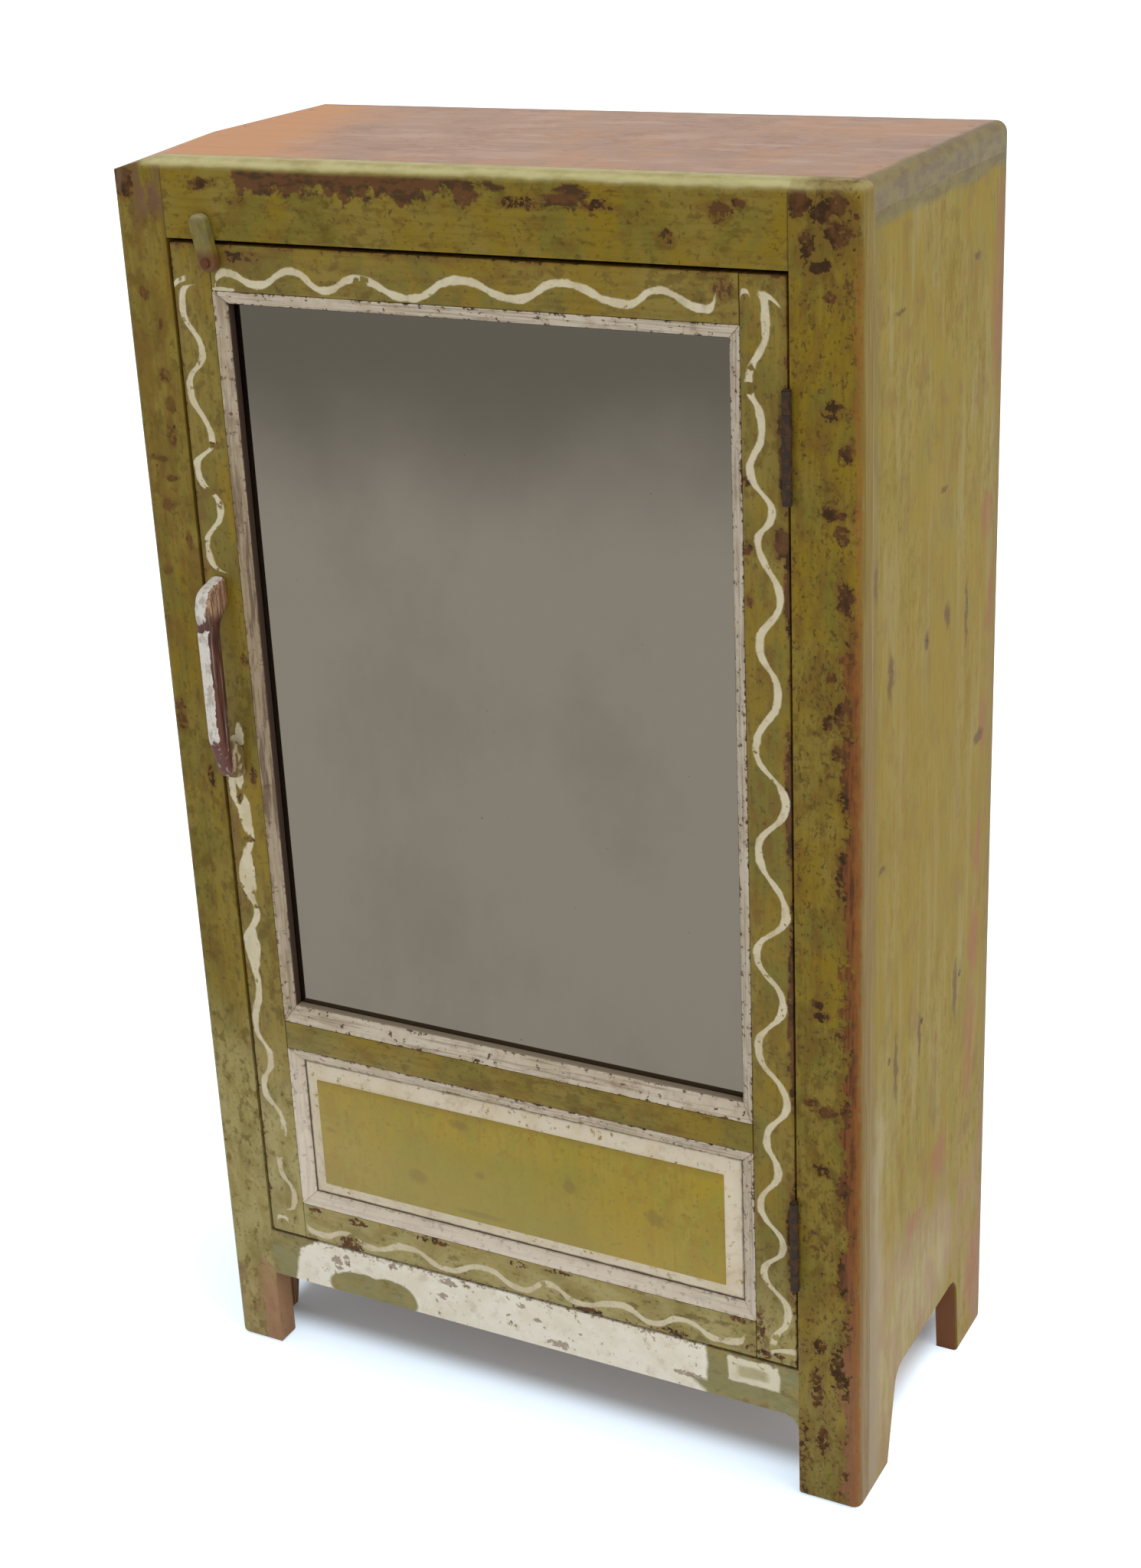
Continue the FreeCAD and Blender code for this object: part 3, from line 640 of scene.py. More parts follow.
@dataclass(frozen=True)
class SilveredGlass:
    """An old mirror, darkened by a painted reflection of grey surroundings, darkest at the top, and faintly
    clouded and spotted.
    """

    # silver is kept dark: a painted reflection of grey surroundings
    silver: Colour = (0.169, 0.14, 0.106)
    dark_reflection: Colour = (0.083, 0.068, 0.05)
    cloud: Colour = (0.143, 0.117, 0.088)
    spot: Colour = (0.05, 0.045, 0.035)

    def material(self, name: str) -> bpy.types.Material:
        """Makes the finish.

        Args:
            name: the material's name.
        Returns:
            The material.
        """
        coats = Coats(name, self.silver, 0.05)
        shader = coats.shader
        haze = shader.noise((140.0, 140.0, 200.0), 3.0)
        speck = shader.noise(5.0, 5.0, MEDIUM)
        coats.lay(haze.ramp(0.4, 0.66) * 0.7, self.cloud, 0.07)
        # Painted reflection: darker towards the top, for dark surroundings seen in the glass
        coats.lay(shader.ragged(shader.z, 22.0, 160.0, 7.0).ramp(770.0, 930.0), self.dark_reflection, 0.06)
        coats.lay(speck.ramp(0.72, 0.78), self.spot, 0.3)
        coats.height = haze * 0.04
        return coats.close(0.5, 1.0)


class Palette:
    """The finishes of this cupboard."""

    front = OldPaint(
        coat=(0.265, 0.175, 0.01),
        pale=(0.27, 0.197, 0.034),
        cast=(0.195, 0.162, 0.022),
        deep=(0.125, 0.078, 0.008),
        thin=(0.18, 0.094, 0.016),
        ground=(0.125, 0.054, 0.018),
        chip=(0.05, 0.025, 0.009),
        rough=0.46,
    )
    side = OldPaint(
        coat=(0.262, 0.178, 0.003),
        pale=(0.285, 0.214, 0.04),
        cast=(0.24, 0.19, 0.022),
        deep=(0.205, 0.132, 0.01),
        thin=(0.255, 0.15, 0.035),
        ground=(0.22, 0.1, 0.045),
        chip=(0.12, 0.06, 0.02),
        rough=0.55,
        speck=0.12,
    )
    top = OldPaint(
        coat=(0.37, 0.205, 0.12),
        pale=(0.4, 0.24, 0.165),
        cast=(0.335, 0.21, 0.15),
        deep=(0.28, 0.135, 0.075),
        thin=(0.37, 0.19, 0.105),
        ground=(0.33, 0.17, 0.09),
        chip=(0.22, 0.1, 0.055),
        rough=0.45,
        speck=0.2,
    )
    gold = OldPaint(
        coat=(0.41, 0.285, 0.02),
        pale=(0.39, 0.3, 0.045),
        cast=(0.32, 0.275, 0.035),
        deep=(0.32, 0.21, 0.02),
        thin=(0.37, 0.23, 0.035),
        ground=(0.2, 0.1, 0.04),
        chip=(0.18, 0.11, 0.03),
        rough=0.42,
    )
    cream = CreamPaint(clean=(0.79, 0.71, 0.5), yellow=(0.67, 0.57, 0.36), dirt=(0.36, 0.25, 0.13))
    fresh = CreamPaint(clean=(0.97, 0.92, 0.79), yellow=(0.88, 0.8, 0.63), dirt=(0.55, 0.42, 0.27))
    strip = CreamPaint(clean=(0.68, 0.59, 0.46), yellow=(0.55, 0.45, 0.31), dirt=(0.2, 0.13, 0.08))
    bevel = CreamPaint(clean=(0.82, 0.73, 0.56), yellow=(0.74, 0.62, 0.43), dirt=(0.36, 0.25, 0.14))
    wood = BareWood(pale=(0.36, 0.23, 0.125), dark=(0.17, 0.09, 0.042))
    iron = OldIron()
    side_nail = OldIron(dark=(0.15, 0.098, 0.04), rust=(0.09, 0.05, 0.022))
    top_nail = OldIron(dark=(0.4, 0.24, 0.16), rust=(0.3, 0.165, 0.1))
    screw = OldIron(dark=(0.08, 0.032, 0.016), rust=(0.15, 0.055, 0.02))
    mirror = SilveredGlass()


class Shine:
    """How strongly each finish shines."""

    front = 0.12
    apron = 0.22
    side = 0.1
    top = 0.16
    door = 0.22
    panel = 0.25
    handle = 0.3
    button = 0.25
    wood = 0.3


class CaseTints:
    """The colours of single marks and edges on the case."""

    # pale_top_and_sheen: pale paint partly painted sheen; painted_edge_highlight: a painted highlight
    pale_top_and_sheen = (0.43, 0.37, 0.15)
    painted_edge_highlight = (0.64, 0.59, 0.3)
    post_stain = (0.2, 0.115, 0.02)
    post_brow = (0.18, 0.1, 0.055)
    foot_tan = (0.42, 0.27, 0.13)
    foot_red = (0.44, 0.22, 0.14)
    corner_red = (0.23, 0.078, 0.022)
    corner_dark = (0.11, 0.038, 0.014)
    corner_low = (0.34, 0.17, 0.09)
    corner_line = (0.27, 0.115, 0.025)
    freckle = (0.085, 0.04, 0.014)
    turned_high = (0.22, 0.158, 0.028)
    turned_low = (0.24, 0.17, 0.055)
    turned_foot = (0.25, 0.185, 0.1)
    turned_dark = (0.18, 0.105, 0.035)
    turned_pale = (0.28, 0.215, 0.09)
    rail_red = (0.13, 0.05, 0.02)
    rail_dark = (0.058, 0.027, 0.012)
    rail_joint = (0.075, 0.038, 0.018)
    apron_dull = (0.29, 0.275, 0.13)
    apron_oblong = (0.6, 0.52, 0.26)
    apron_chip = (0.24, 0.15, 0.095)
    side_brush = (0.335, 0.275, 0.125)
    side_cloud = (0.2, 0.115, 0.025)
    side_scuff = (0.16, 0.09, 0.035)
    side_belt = (0.265, 0.17, 0.012)
    side_rub = (0.285, 0.13, 0.05)
    side_back = (0.2, 0.12, 0.065)
    side_floor_sheen = (0.42, 0.345, 0.2)
    side_pink = (0.32, 0.19, 0.12)
    side_stain = (0.105, 0.05, 0.018)
    side_seam = (0.17, 0.115, 0.035)
    side_front = (0.3, 0.235, 0.16)
    # painted_foot_shade: painted shade on the feet; foot_inside: the real orange-brown of the back foot
    painted_foot_shade = (0.04, 0.03, 0.03)
    foot_inside = (0.23, 0.09, 0.045)
    dull_green = (0.175, 0.145, 0.045)
    dull_brown = (0.13, 0.095, 0.04)
    top_shade = (0.33, 0.19, 0.125)
    top_pale = (0.5, 0.325, 0.24)
    top_glaze = (0.45, 0.215, 0.085)
    top_orange = (0.52, 0.205, 0.04)
    top_grain = (0.25, 0.125, 0.08)
    top_back = (0.25, 0.17, 0.115)


class DoorTints:
    """The colours of single marks and edges on the door."""

    strip_held = (0.3, 0.21, 0.115)
    strip_smut = (0.1, 0.055, 0.03)
    # strip_floor_sheen and panel_floor_sheen: colours of the painted reflection of the white floor
    strip_floor_sheen = (0.92, 0.82, 0.7)
    lip_pale = (0.3, 0.24, 0.17)
    lip_bare_and_shade = (0.06, 0.036, 0.024)
    panel_green = (0.27, 0.25, 0.03)
    panel_smudge = (0.17, 0.11, 0.03)
    panel_shade = (0.26, 0.17, 0.03)
    panel_floor_sheen = (0.62, 0.46, 0.16)
    panel_groove_shade = (0.035, 0.023, 0.018)


class HandleTints:
    """The colours of the layers of paint on the handle."""

    maroon = (0.145, 0.05, 0.03)
    maroon_dark = (0.05, 0.024, 0.016)
    tan = (0.52, 0.36, 0.22)
    tan_dark = (0.24, 0.105, 0.06)
    streak = (0.46, 0.37, 0.31)
    chalk = (0.78, 0.74, 0.66)
    chalk_dirt = (0.42, 0.35, 0.28)
    tail_red = (0.17, 0.04, 0.032)
    tail_speck = (0.6, 0.5, 0.4)
    olive = (0.22, 0.16, 0.05)
    olive_pale = (0.6, 0.5, 0.32)


class ButtonTints:
    """The colours of the worn paint on the button, and of the painted highlight on its top end."""

    dull = (0.17, 0.155, 0.06)
    worn = (0.15, 0.055, 0.02)
    # end: a painted highlight on the top end
    end = (0.42, 0.37, 0.2)


# Work in edit mode


class Bench:
    """The edit-mode work that several pieces share."""

    @staticmethod
    def clear() -> None:
        """Leaves object mode with nothing selected."""
        if bpy.context.object and bpy.context.object.mode != "OBJECT":
            bpy.ops.object.mode_set(mode="OBJECT")
        bpy.ops.object.select_all(action="DESELECT")

    @staticmethod
    def pick(piece: bpy.types.Object) -> None:
        """Selects one piece and nothing else."""
        Bench.clear()
        piece.select_set(True)
        bpy.context.view_layer.objects.active = piece

    @staticmethod
    @contextmanager
    def editing(piece: bpy.types.Object, action: str) -> Iterator[None]:
        """Opens a piece in edit mode, with its edges picked, and closes it again afterwards.

        Args:
            piece: the piece.
            action: SELECT for all of its edges, DESELECT for none.
        Returns:
            Nothing, for as long as the piece is open.
        """
        Bench.pick(piece)
        bpy.ops.object.mode_set(mode="EDIT")
        bpy.ops.mesh.select_mode(type="EDGE")
        bpy.ops.mesh.select_all(action=action)
        yield
        bpy.ops.object.mode_set(mode="OBJECT")

    @staticmethod
    def block(name: str, low: Vector, high: Vector) -> bpy.types.Object:
        """Adds a block between two corners.

        Args:
            name: the piece's name.
            low: its lowest corner, in metres.
            high: its highest corner.
        Returns:
            The block.
        """
        Bench.clear()
        bpy.ops.mesh.primitive_cube_add(size=1.0, location=(low + high) / 2)
        piece = bpy.context.active_object
        piece.name = piece.data.name = name
        piece.scale = high - low
        bpy.ops.object.transform_apply(location=True, rotation=True, scale=True)
        return piece

    @staticmethod
    def copy_of(node: str, name: str) -> bpy.types.Object:
        """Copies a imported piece's mesh into a new piece and merges its triangles.

        Args:
            node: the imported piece's name.
            name: the new piece's name.
        Returns:
            The new piece.
        """
        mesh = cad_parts[node].data.copy()
        mesh.name = name
        piece = bpy.data.objects.new(name, mesh)
        bpy.context.scene.collection.objects.link(piece)
        with Bench.editing(piece, "SELECT"):
            bpy.ops.mesh.remove_doubles(threshold=MERGE_DISTANCE)
            bpy.ops.mesh.dissolve_limited(angle_limit=FLAT_ANGLE)
        return piece

    @staticmethod
    def divide(piece: bpy.types.Object, step: float) -> None:
        """Cuts the faces of a block into pieces of about one size.

        Args:
            piece: the block.
            step: the size that the cuts leave, in metres.
        """
        for axis in range(3):
            cuts = int(piece.dimensions[axis] / step)
            if cuts < 1:
                continue
            with Bench.editing(piece, "DESELECT"):
                bpy.ops.object.mode_set(mode="OBJECT")
                points = piece.data.vertices
                for edge in piece.data.edges:
                    run = points[edge.vertices[0]].co - points[edge.vertices[1]].co
                    edge.select = abs(run[axis]) > NEARLY_ALL * run.length
                bpy.ops.object.mode_set(mode="EDIT")
                bpy.ops.mesh.subdivide(number_cuts=cuts)

    @staticmethod
    def ease(piece: bpy.types.Object, width: float, segments: int) -> None:
        """Rounds every sharp edge.

        Args:
            piece: the piece.
            width: the width of the rounding, in metres.
            segments: how many facets it has.
        """
        with Bench.editing(piece, "DESELECT"):
            bpy.ops.mesh.edges_select_sharp(sharpness=SHARP_ANGLE)
            bpy.ops.mesh.bevel(offset=width, segments=segments, affect="EDGES", clamp_overlap=True)

    @staticmethod
    def plane_off(piece: bpy.types.Object, place: Vector, outwards: Vector) -> None:
        """Takes off what lies outside a plane.

        Args:
            piece: the piece.
            place: a point on the plane.
            outwards: the way that the plane faces.
        """
        with Bench.editing(piece, "SELECT"):
            bpy.ops.mesh.bisect(plane_co=place, plane_no=outwards, use_fill=True, clear_outer=True)
            bpy.ops.mesh.mark_sharp()

    @staticmethod
    def keep_flat(piece: bpy.types.Object) -> None:
        """Makes large faces look flat up to the rounded edges beside them."""
        Bench.pick(piece)
        flat = piece.modifiers.new("flat", "WEIGHTED_NORMAL")
        flat.keep_sharp = True
        bpy.ops.object.modifier_apply(modifier=flat.name)
        Bench.clear()

    @staticmethod
    def wear_down(piece: bpy.types.Object, depth: float, size: float) -> None:
        """Sinks the surface here and there, never outwards.

        Args:
            piece: the piece.
            depth: the deepest hollow, in metres.
            size: the width of the hollows.
        """
        Bench.pick(piece)
        cloud = bpy.data.textures.new(piece.name + "_wear", "CLOUDS")
        cloud.noise_scale = size
        worn = piece.modifiers.new("wear", "DISPLACE")
        worn.texture = cloud
        worn.texture_coords = "LOCAL"
        worn.mid_level = 1.0
        worn.strength = depth
        bpy.ops.object.modifier_apply(modifier=worn.name)

    @staticmethod
    def whittle(piece: bpy.types.Object, grain: float, rounds: int) -> None:
        """Rounds a piece all over, as a knife and long use do.

        Args:
            piece: the piece.
            grain: the size of the faces that it ends with, in metres.
            rounds: how often it is smoothed.
        """
        Bench.pick(piece)
        skin = piece.modifiers.new("skin", "REMESH")
        skin.mode = "VOXEL"
        skin.voxel_size = grain
        bpy.ops.object.modifier_apply(modifier=skin.name)
        soft = piece.modifiers.new("soft", "SMOOTH")
        soft.factor = SMOOTHING
        soft.iterations = rounds
        bpy.ops.object.modifier_apply(modifier=soft.name)

    @staticmethod
    def round_over(piece: bpy.types.Object, height: float, rounds: int) -> None:
        """Smooths what lies above a height.

        Args:
            piece: the piece, with small faces.
            height: the height, in metres.
            rounds: how often it is smoothed.
        """
        with Bench.editing(piece, "DESELECT"):
            bpy.ops.mesh.select_mode(type="VERT")
            bpy.ops.object.mode_set(mode="OBJECT")
            for point in piece.data.vertices:
                point.select = point.co.z > height
            bpy.ops.object.mode_set(mode="EDIT")
            bpy.ops.mesh.vertices_smooth(factor=SMOOTHING, repeat=rounds)

    @staticmethod
    def settle(piece: bpy.types.Object, body: str, slot: str, nodes: tuple[str, ...]) -> None:
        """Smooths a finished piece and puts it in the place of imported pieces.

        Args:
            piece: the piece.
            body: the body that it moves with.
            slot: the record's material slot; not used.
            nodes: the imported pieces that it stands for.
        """
        with Bench.editing(piece, "SELECT"):
            bpy.ops.mesh.normals_make_consistent(inside=False)
        bpy.ops.object.shade_smooth_by_angle(angle=SMOOTH_ANGLE)
        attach(piece, body)
        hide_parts(*nodes)
        Bench.clear()


def dress(name: str, material: bpy.types.Material) -> None:
    """Gives a piece its finish.

    Args:
        name: the piece's name.
        material: the finish.
    """
    piece = bpy.data.objects.get(name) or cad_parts[name]
    if not piece.material_slots:
        piece.data.materials.append(material)
    for slot in piece.material_slots:
        slot.material = material
    LOG.info("dressed %s", name)


# Sub-assemblies


@dataclass
class Case:
    """The fixed carcass: posts, rails, side planks, top, shelves and back."""

    colours: type[Palette]
    front: float
    frame_back: float
    half_width: float
    inner_half: float
    height: float

    left_chips = Blot.on_front(
        (-284, 958, 6, 6), (-271, 936, 3, 5), (-272, 895, 6, 8), (-270, 871, 6, 7),
        (-272, 848, 5, 12), (-287, 828, 11, 3.5), (-276, 812, 8, 3), (-282, 790, 7, 5),
        (-266, 762, 4, 9), (-290, 735, 7, 6), (-294, 612, 9, 18), (-270, 560, 4, 12),
        (-292, 1042, 14, 14), (-266, 1026, 5, 14),
    )
    right_chips = Blot.on_front(
        (258, 1046, 9, 10), (272, 1040, 9, 7), (284, 1046, 10, 8), (285, 1026, 9, 10),
        (263, 1020, 6, 12), (272, 1004, 10, 5), (279, 985, 6, 5), (282.5, 908, 9, 8),
        (291, 880, 7, 8), (283, 836, 10, 6), (288, 822, 7, 9), (290, 776, 8, 12), (280, 716, 5, 6),
        (277, 682, 4, 9), (286, 690, 5, 12), (284, 660, 6, 8), (292, 640, 7, 34), (290, 566, 8, 26),
        (268, 456, 6, 4), (272, 447, 8, 6), (288, 434, 7, 9), (262, 372, 7, 4), (276, 366, 9, 5),
        (291, 372, 7, 16), (272, 313, 7, 7), (290, 300, 8, 18), (288, 220, 6, 24), (268, 150, 7, 9),
        (284, 136, 8, 26), (265, 108, 8, 20), (272, 60, 6, 16),
    )
    rail_chips = Blot.on_front(
        (50, 1037, 22, 5), (112, 1038, 18, 5), (201, 1037, 10, 9), (214, 1044, 8, 5),
        (160, 1018, 9, 6), (-222, 1043, 14, 5),
    )
    apron_patch = Blot.on_front((-164, 84, 38, 18), (-136, 84, 30, 20))
    apron_chips = Blot.on_front(
        (-189, 108, 7, 6), (-179, 111, 4, 8), (-188, 101, 5, 3), (-81, 101, 6, 4),
        (-131, 117, 6, 4), (-76, 116, 12, 4), (-4, 113, 5, 4), (11, 102, 5, 3), (30, 84, 13, 5),
        (150, 90, 18, 3),
    )
    side_stains = Blot.on_side(
        (-79, 701, 6, 22), (-4, 704, 7, 9), (41, 709, 5, 12), (85, 698, 4, 30), (-62, 372, 5, 36),
        (-9, 374, 5, 20), (75, 376, 5, 28), (95, 972, 8, 3), (-65, 962, 12, 2), (-110, 780, 4, 16),
        (-95, 555, 8, 3), (120, 582, 12, 7), (30, 812, 9, 2.5),
    )
    side_rubs = Blot.on_side(
        (146, 940, 14, 84), (130, 765, 15, 22), (140, 690, 9, 26), (132, 590, 8, 30),
        (128, 480, 12, 34), (118, 400, 14, 36), (112, 310, 19, 62), (40, 236, 22, 20),
        (-20, 205, 18, 14), (140, 60, 22, 60),
    )
    # Painted reflection of the white floor, low on the side towards the front
    side_sheen_marks = Blot.on_side((-70, 110, 60, 110), (10, 140, 80, 60), (-96, 230, 16, 160))
    corner_reach = Vector((40.0, 150.0, 10.5)) * MM
    back_shares = (1.0, 0.82, 1.1, 0.9)

    @classmethod
    def measured(cls, colours: type[Palette]) -> "Case":
        """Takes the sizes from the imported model.

        Args:
            colours: the finishes.
        Returns:
            The case, with its sizes in millimetres.
        """
        post_low, post_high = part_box("right_front_stile")
        plank_low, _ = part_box("right_side")
        return cls(
            colours,
            front=post_low.y / MM,
            frame_back=post_high.y / MM,
            half_width=post_high.x / MM,
            inner_half=plank_low.x / MM,
            height=post_high.z / MM,
        )

    def hide_inside(self, coats: Coats, inside: Channel) -> None:
        """Leaves the faces that were never painted as bare wood."""
        self.colours.wood.show(coats, inside, Grain.UP, 40.0, 0.42)

    def finish_front(self, name: str, coats: Coats, seed: float) -> None:
        """Adds the pale top edge, partly painted sheen, with a painted highlight along it, and the bare
        back to a piece of the front frame, and dresses it.

        Args:
            name: the piece.
            coats: its finish so far.
            seed: a number that moves the pattern.
        """
        shader = coats.shader
        rise = shader.ragged(shader.z, 1.0, 16.0, seed)
        left = shader.ragged(shader.x, 8.0, 24.0, seed + 0.02).ramp(-288.0, -258.0)
        right = shader.ragged(shader.x, 8.0, 20.0, seed + 0.04).ramp(276.0, 250.0)
        uneven = shader.noise((34.0, 34.0, 8.0), seed + 0.06).ramp(0.25, 0.6) * 0.5 + 0.5
        kept = left * (right * 0.75 + 0.25) * uneven
        # Pale paint on the top edge, partly painted sheen, then a painted highlight where the rounded edge
        # catches the light, broken where the edge is worn
        coats.lay(rise.ramp(1050.5, 1056.5) * kept * 0.85, CaseTints.pale_top_and_sheen, 0.42)
        coats.lay(rise.within(1055.0, 1059.0, 1.6) * kept * 0.8, CaseTints.painted_edge_highlight, 0.4)
        self.hide_inside(coats, shader.y.ramp(self.frame_back - 1.5, self.frame_back - 0.5))
        dress(name, coats.close(Shine.front))

    def build_corner(self) -> None:
        """Wears down the top corner at the front left."""
        corner = Vector((-self.half_width, self.front, self.height)) * MM
        along, back, drop = self.corner_reach
        start = corner + Vector((along, 0.0, 0.0))
        low = corner - Vector((0.0, 0.0, drop))
        end = corner + Vector((0.0, back, 0.0))
        outwards = (low - start).cross(end - start).normalized()
        outwards *= math.copysign(1.0, outwards.z)
        slots = {"left_front_stile": "green_paint", "top_board": "top_paint", "top_nails": "old_iron"}
        for node, slot in slots.items():
            piece = Bench.copy_of(node, "worn_" + node)
            Bench.plane_off(piece, start, outwards)
            Bench.settle(piece, "case", slot, (node,))
            Bench.keep_flat(piece)
            LOG.info("built %s", piece.name)

    def dress_left_post(self) -> None:
        """Paints the left front post, which is browner at its top and has a red-brown foot."""
        seed = 1.0
        paint = self.colours.front
        coats = paint.start("left_post_paint", Grain.UP, seed)
        shader = coats.shader
        chips = shader.blots(self.left_chips, seed + 0.2)
        edge = shader.ragged(shader.x + self.half_width, 4.0, 22.0, seed + 0.4).ramp(8.0, 0.0)
        foot = shader.ragged(shader.z, 16.0, 40.0, seed + 0.6).ramp(95.0, 60.0)
        upper = shader.z.ramp(560.0, 760.0)
        # The last number sets the painted reflection of the white floor near the foot
        paint.cover(coats, edge * 0.07 + upper * 0.025 + chips * 0.2, Grain.UP, seed, 0.8)
        stain = shader.noise(Grain.UP.stretch(10.0, 34.0), seed + 0.7).ramp(0.42, 0.6)
        coats.lay(stain * upper * 0.5, CaseTints.post_stain, 0.52)
        brow = shader.ragged(shader.z, 6.0, 22.0, seed + 0.75).ramp(1002.0, 1032.0)
        coats.lay(brow * stain * 0.8, CaseTints.post_brow, 0.52)
        fibre = shader.noise(Grain.UP.stretch(4.0, 40.0), seed + 0.77).ramp(0.4, 0.62)
        coats.lay(foot * fibre * 0.55, CaseTints.foot_tan, 0.55)
        red = shader.ragged(shader.x, 3.0, 18.0, seed + 0.8).ramp(-282.0, -268.0) * foot
        coats.lay(red * 0.7, CaseTints.foot_red, 0.6)
        self.finish_front("worn_left_front_stile", coats, seed + 0.9)

    def dress_right_post(self) -> None:
        """Paints the right front post, whose outer edge is worn red-brown."""
        seed = 2.0
        paint = self.colours.front
        coats = paint.start("right_post_paint", Grain.UP, seed)
        shader = coats.shader
        chips = shader.blots(self.right_chips, seed + 0.2, 2.6, 8.0)
        outer = shader.ragged(shader.x, 3.4, 12.0, seed + 0.3)
        low_down = shader.ragged(shader.z, 10.0, 40.0, seed + 0.35).ramp(800.0, 690.0)
        edge = outer.ramp(self.half_width - 22.0, self.half_width - 9.0) * (low_down * 0.7 + 0.3)
        brow = shader.ragged(shader.z, 8.0, 24.0, seed + 0.4).ramp(985.0, 1040.0)
        inner = shader.ragged(shader.x, 2.0, 18.0, seed + 0.9).ramp(262.0, 254.0)
        inner = inner * shader.z.ramp(95.0, 70.0)
        wear = (chips * 0.2).most(edge * 0.13) + brow * 0.06 + inner * 0.14 + 0.03
        # The last number sets the painted reflection of the white floor near the foot
        paint.cover(coats, wear, Grain.UP, seed, 0.2)
        fibre = shader.noise(Grain.UP.stretch(2.6, 30.0), seed + 0.7)
        patch = shader.noise((9.0, 9.0, 14.0), seed + 0.75)
        brown = shader.mix(fibre.ramp(0.42, 0.62), CaseTints.corner_red, CaseTints.corner_dark)
        brown = shader.mix(shader.z.ramp(300.0, 80.0) * 0.6, brown, CaseTints.corner_low)
        freckle = shader.noise((3.0, 3.0, 4.5), seed + 0.65) + (patch - 0.5) * 0.6
        coats.lay(freckle.ramp(0.58, 0.66) * 0.7, CaseTints.freckle, 0.6)
        bare = (outer + (patch - 0.5) * 40.0).ramp(self.half_width - 13.0, self.half_width - 10.5)
        coats.lay(bare * low_down * 0.9, brown, 0.58)
        line = outer.ramp(self.half_width - 7.0, self.half_width - 3.0) * shader.z.ramp(1030.0, 980.0)
        coats.lay(line * 0.6, CaseTints.corner_line, 0.6)
        turned = shader.ragged(shader.y, 1.6, 12.0, seed + 0.8).ramp(self.front + 2.0, self.front + 5.0)
        streaks = shader.noise(Grain.UP.stretch(3.6, 80.0), seed + 0.85)
        khaki = shader.mix(low_down, CaseTints.turned_high, CaseTints.turned_low)
        khaki = shader.mix(shader.z.ramp(280.0, 80.0), khaki, CaseTints.turned_foot)
        khaki = shader.mix(streaks.ramp(0.44, 0.6) * 0.5, khaki, CaseTints.turned_dark)
        khaki = shader.mix(streaks.ramp(0.48, 0.36) * 0.5, khaki, CaseTints.turned_pale)
        coats.lay(turned * shader.x.ramp(self.half_width - 8.0, self.half_width - 3.0) * 0.9, khaki, 0.62)
        self.finish_front("right_front_stile", coats, seed + 0.95)

    def dress_top_rail(self) -> None:
        """Paints the rail over the door, chipped along its top edge."""
        seed = 3.0
        paint = self.colours.front
        coats = paint.start("top_rail_paint", Grain.ACROSS, seed)
        shader = coats.shader
        chips = shader.blots(self.rail_chips, seed + 0.2, 3.0, 14.0)
        paint.cover(coats, chips * 0.19, Grain.ACROSS, seed)
        jag = shader.noise(20.0, seed + 0.3)
        rag = shader.noise(6.0, seed + 0.35)
        hang = shader.z - 1037.0 + (jag - 0.5) * 52.0 + (rag - 0.5) * 22.0
        reach = shader.x.within(-192.0, 8.0, 12.0) * 0.3 + shader.x.within(-192.0, 136.0, 24.0) * 0.24
        left = (shader.noise((30.0, 30.0, 11.0), seed + 0.4) + reach).ramp(0.72, 0.8)
        band = hang.ramp(-2.0, 2.0) * shader.z.ramp(1054.5, 1051.5) * left
        fibre = shader.noise(Grain.ACROSS.stretch(6.0, 12.0), seed + 0.5, 6.0)
        brown = shader.mix(fibre.ramp(0.44, 0.58), CaseTints.rail_red, CaseTints.rail_dark)
        coats.lay(band * 0.92, brown, 0.6, -0.1)
        ends = (shader.x + 258.0).ramp(1.6, 0.4).most((250.0 - shader.x).ramp(1.6, 0.4))
        coats.lay(ends * 0.75, CaseTints.rail_joint, 0.6)
        self.finish_front("top_rail", coats, seed + 0.7)

    def dress_apron(self) -> None:
        """Paints the low rail cream, with green left at its ends and on one patch."""
        seed = 4.0
        paint = self.colours.front
        coats = paint.start("apron_paint", Grain.ACROSS, seed)
        shader = coats.shader
        # The last number sets the painted reflection of the white floor
        paint.cover(coats, 0.02, Grain.ACROSS, seed, 0.5)
        dull = shader.noise((30.0, 30.0, 20.0), seed + 0.05, MEDIUM)
        coats.lay(dull.ramp(0.3, 0.6) * 0.75, CaseTints.apron_dull, 0.5)
        x = shader.ragged(shader.x, 1.6, 14.0, seed + 0.1)
        z = shader.ragged(shader.z, 1.6, 14.0, seed + 0.2)
        start = x - (z - 77.0).most(0.0) * 0.25 - (z - 110.0).most(0.0) * 1.2
        field = start.ramp(-238.0, -234.0) * x.ramp(171.0, 167.0)
        under = z.ramp(91.0, 87.0) * (x + (z - 77.0) * 1.5).ramp(165.0, 175.0)
        patch = shader.blots(self.apron_patch, seed + 0.25, 1.2, 12.0).ramp(0.35, 0.55)
        oblong = x.within(188.0, 233.0, 1.2) * z.within(96.0, 119.5, 1.2)
        hollow = x.within(197.0, 223.0, 3.0) * z.within(102.0, 113.0, 2.0)
        top_edge = z.ramp(114.0, 121.5)
        chips = shader.blots(self.apron_chips, seed + 0.3, 1.2, 8.0)
        cream = (field * (1.0 - patch) * (1.0 - under)).most(oblong * (1.0 - hollow * 0.75))
        self.colours.fresh.cover(coats, cream, top_edge * 0.06, seed + 0.4)
        coats.lay(oblong * 0.4, CaseTints.apron_oblong, 0.5)
        spots = shader.noise(3.4, seed + 0.6) * 0.6 + (chips * 0.19).most(top_edge * 0.1)
        coats.lay(spots.ramp(0.41, 0.46) * 0.7, CaseTints.apron_chip, 0.62)
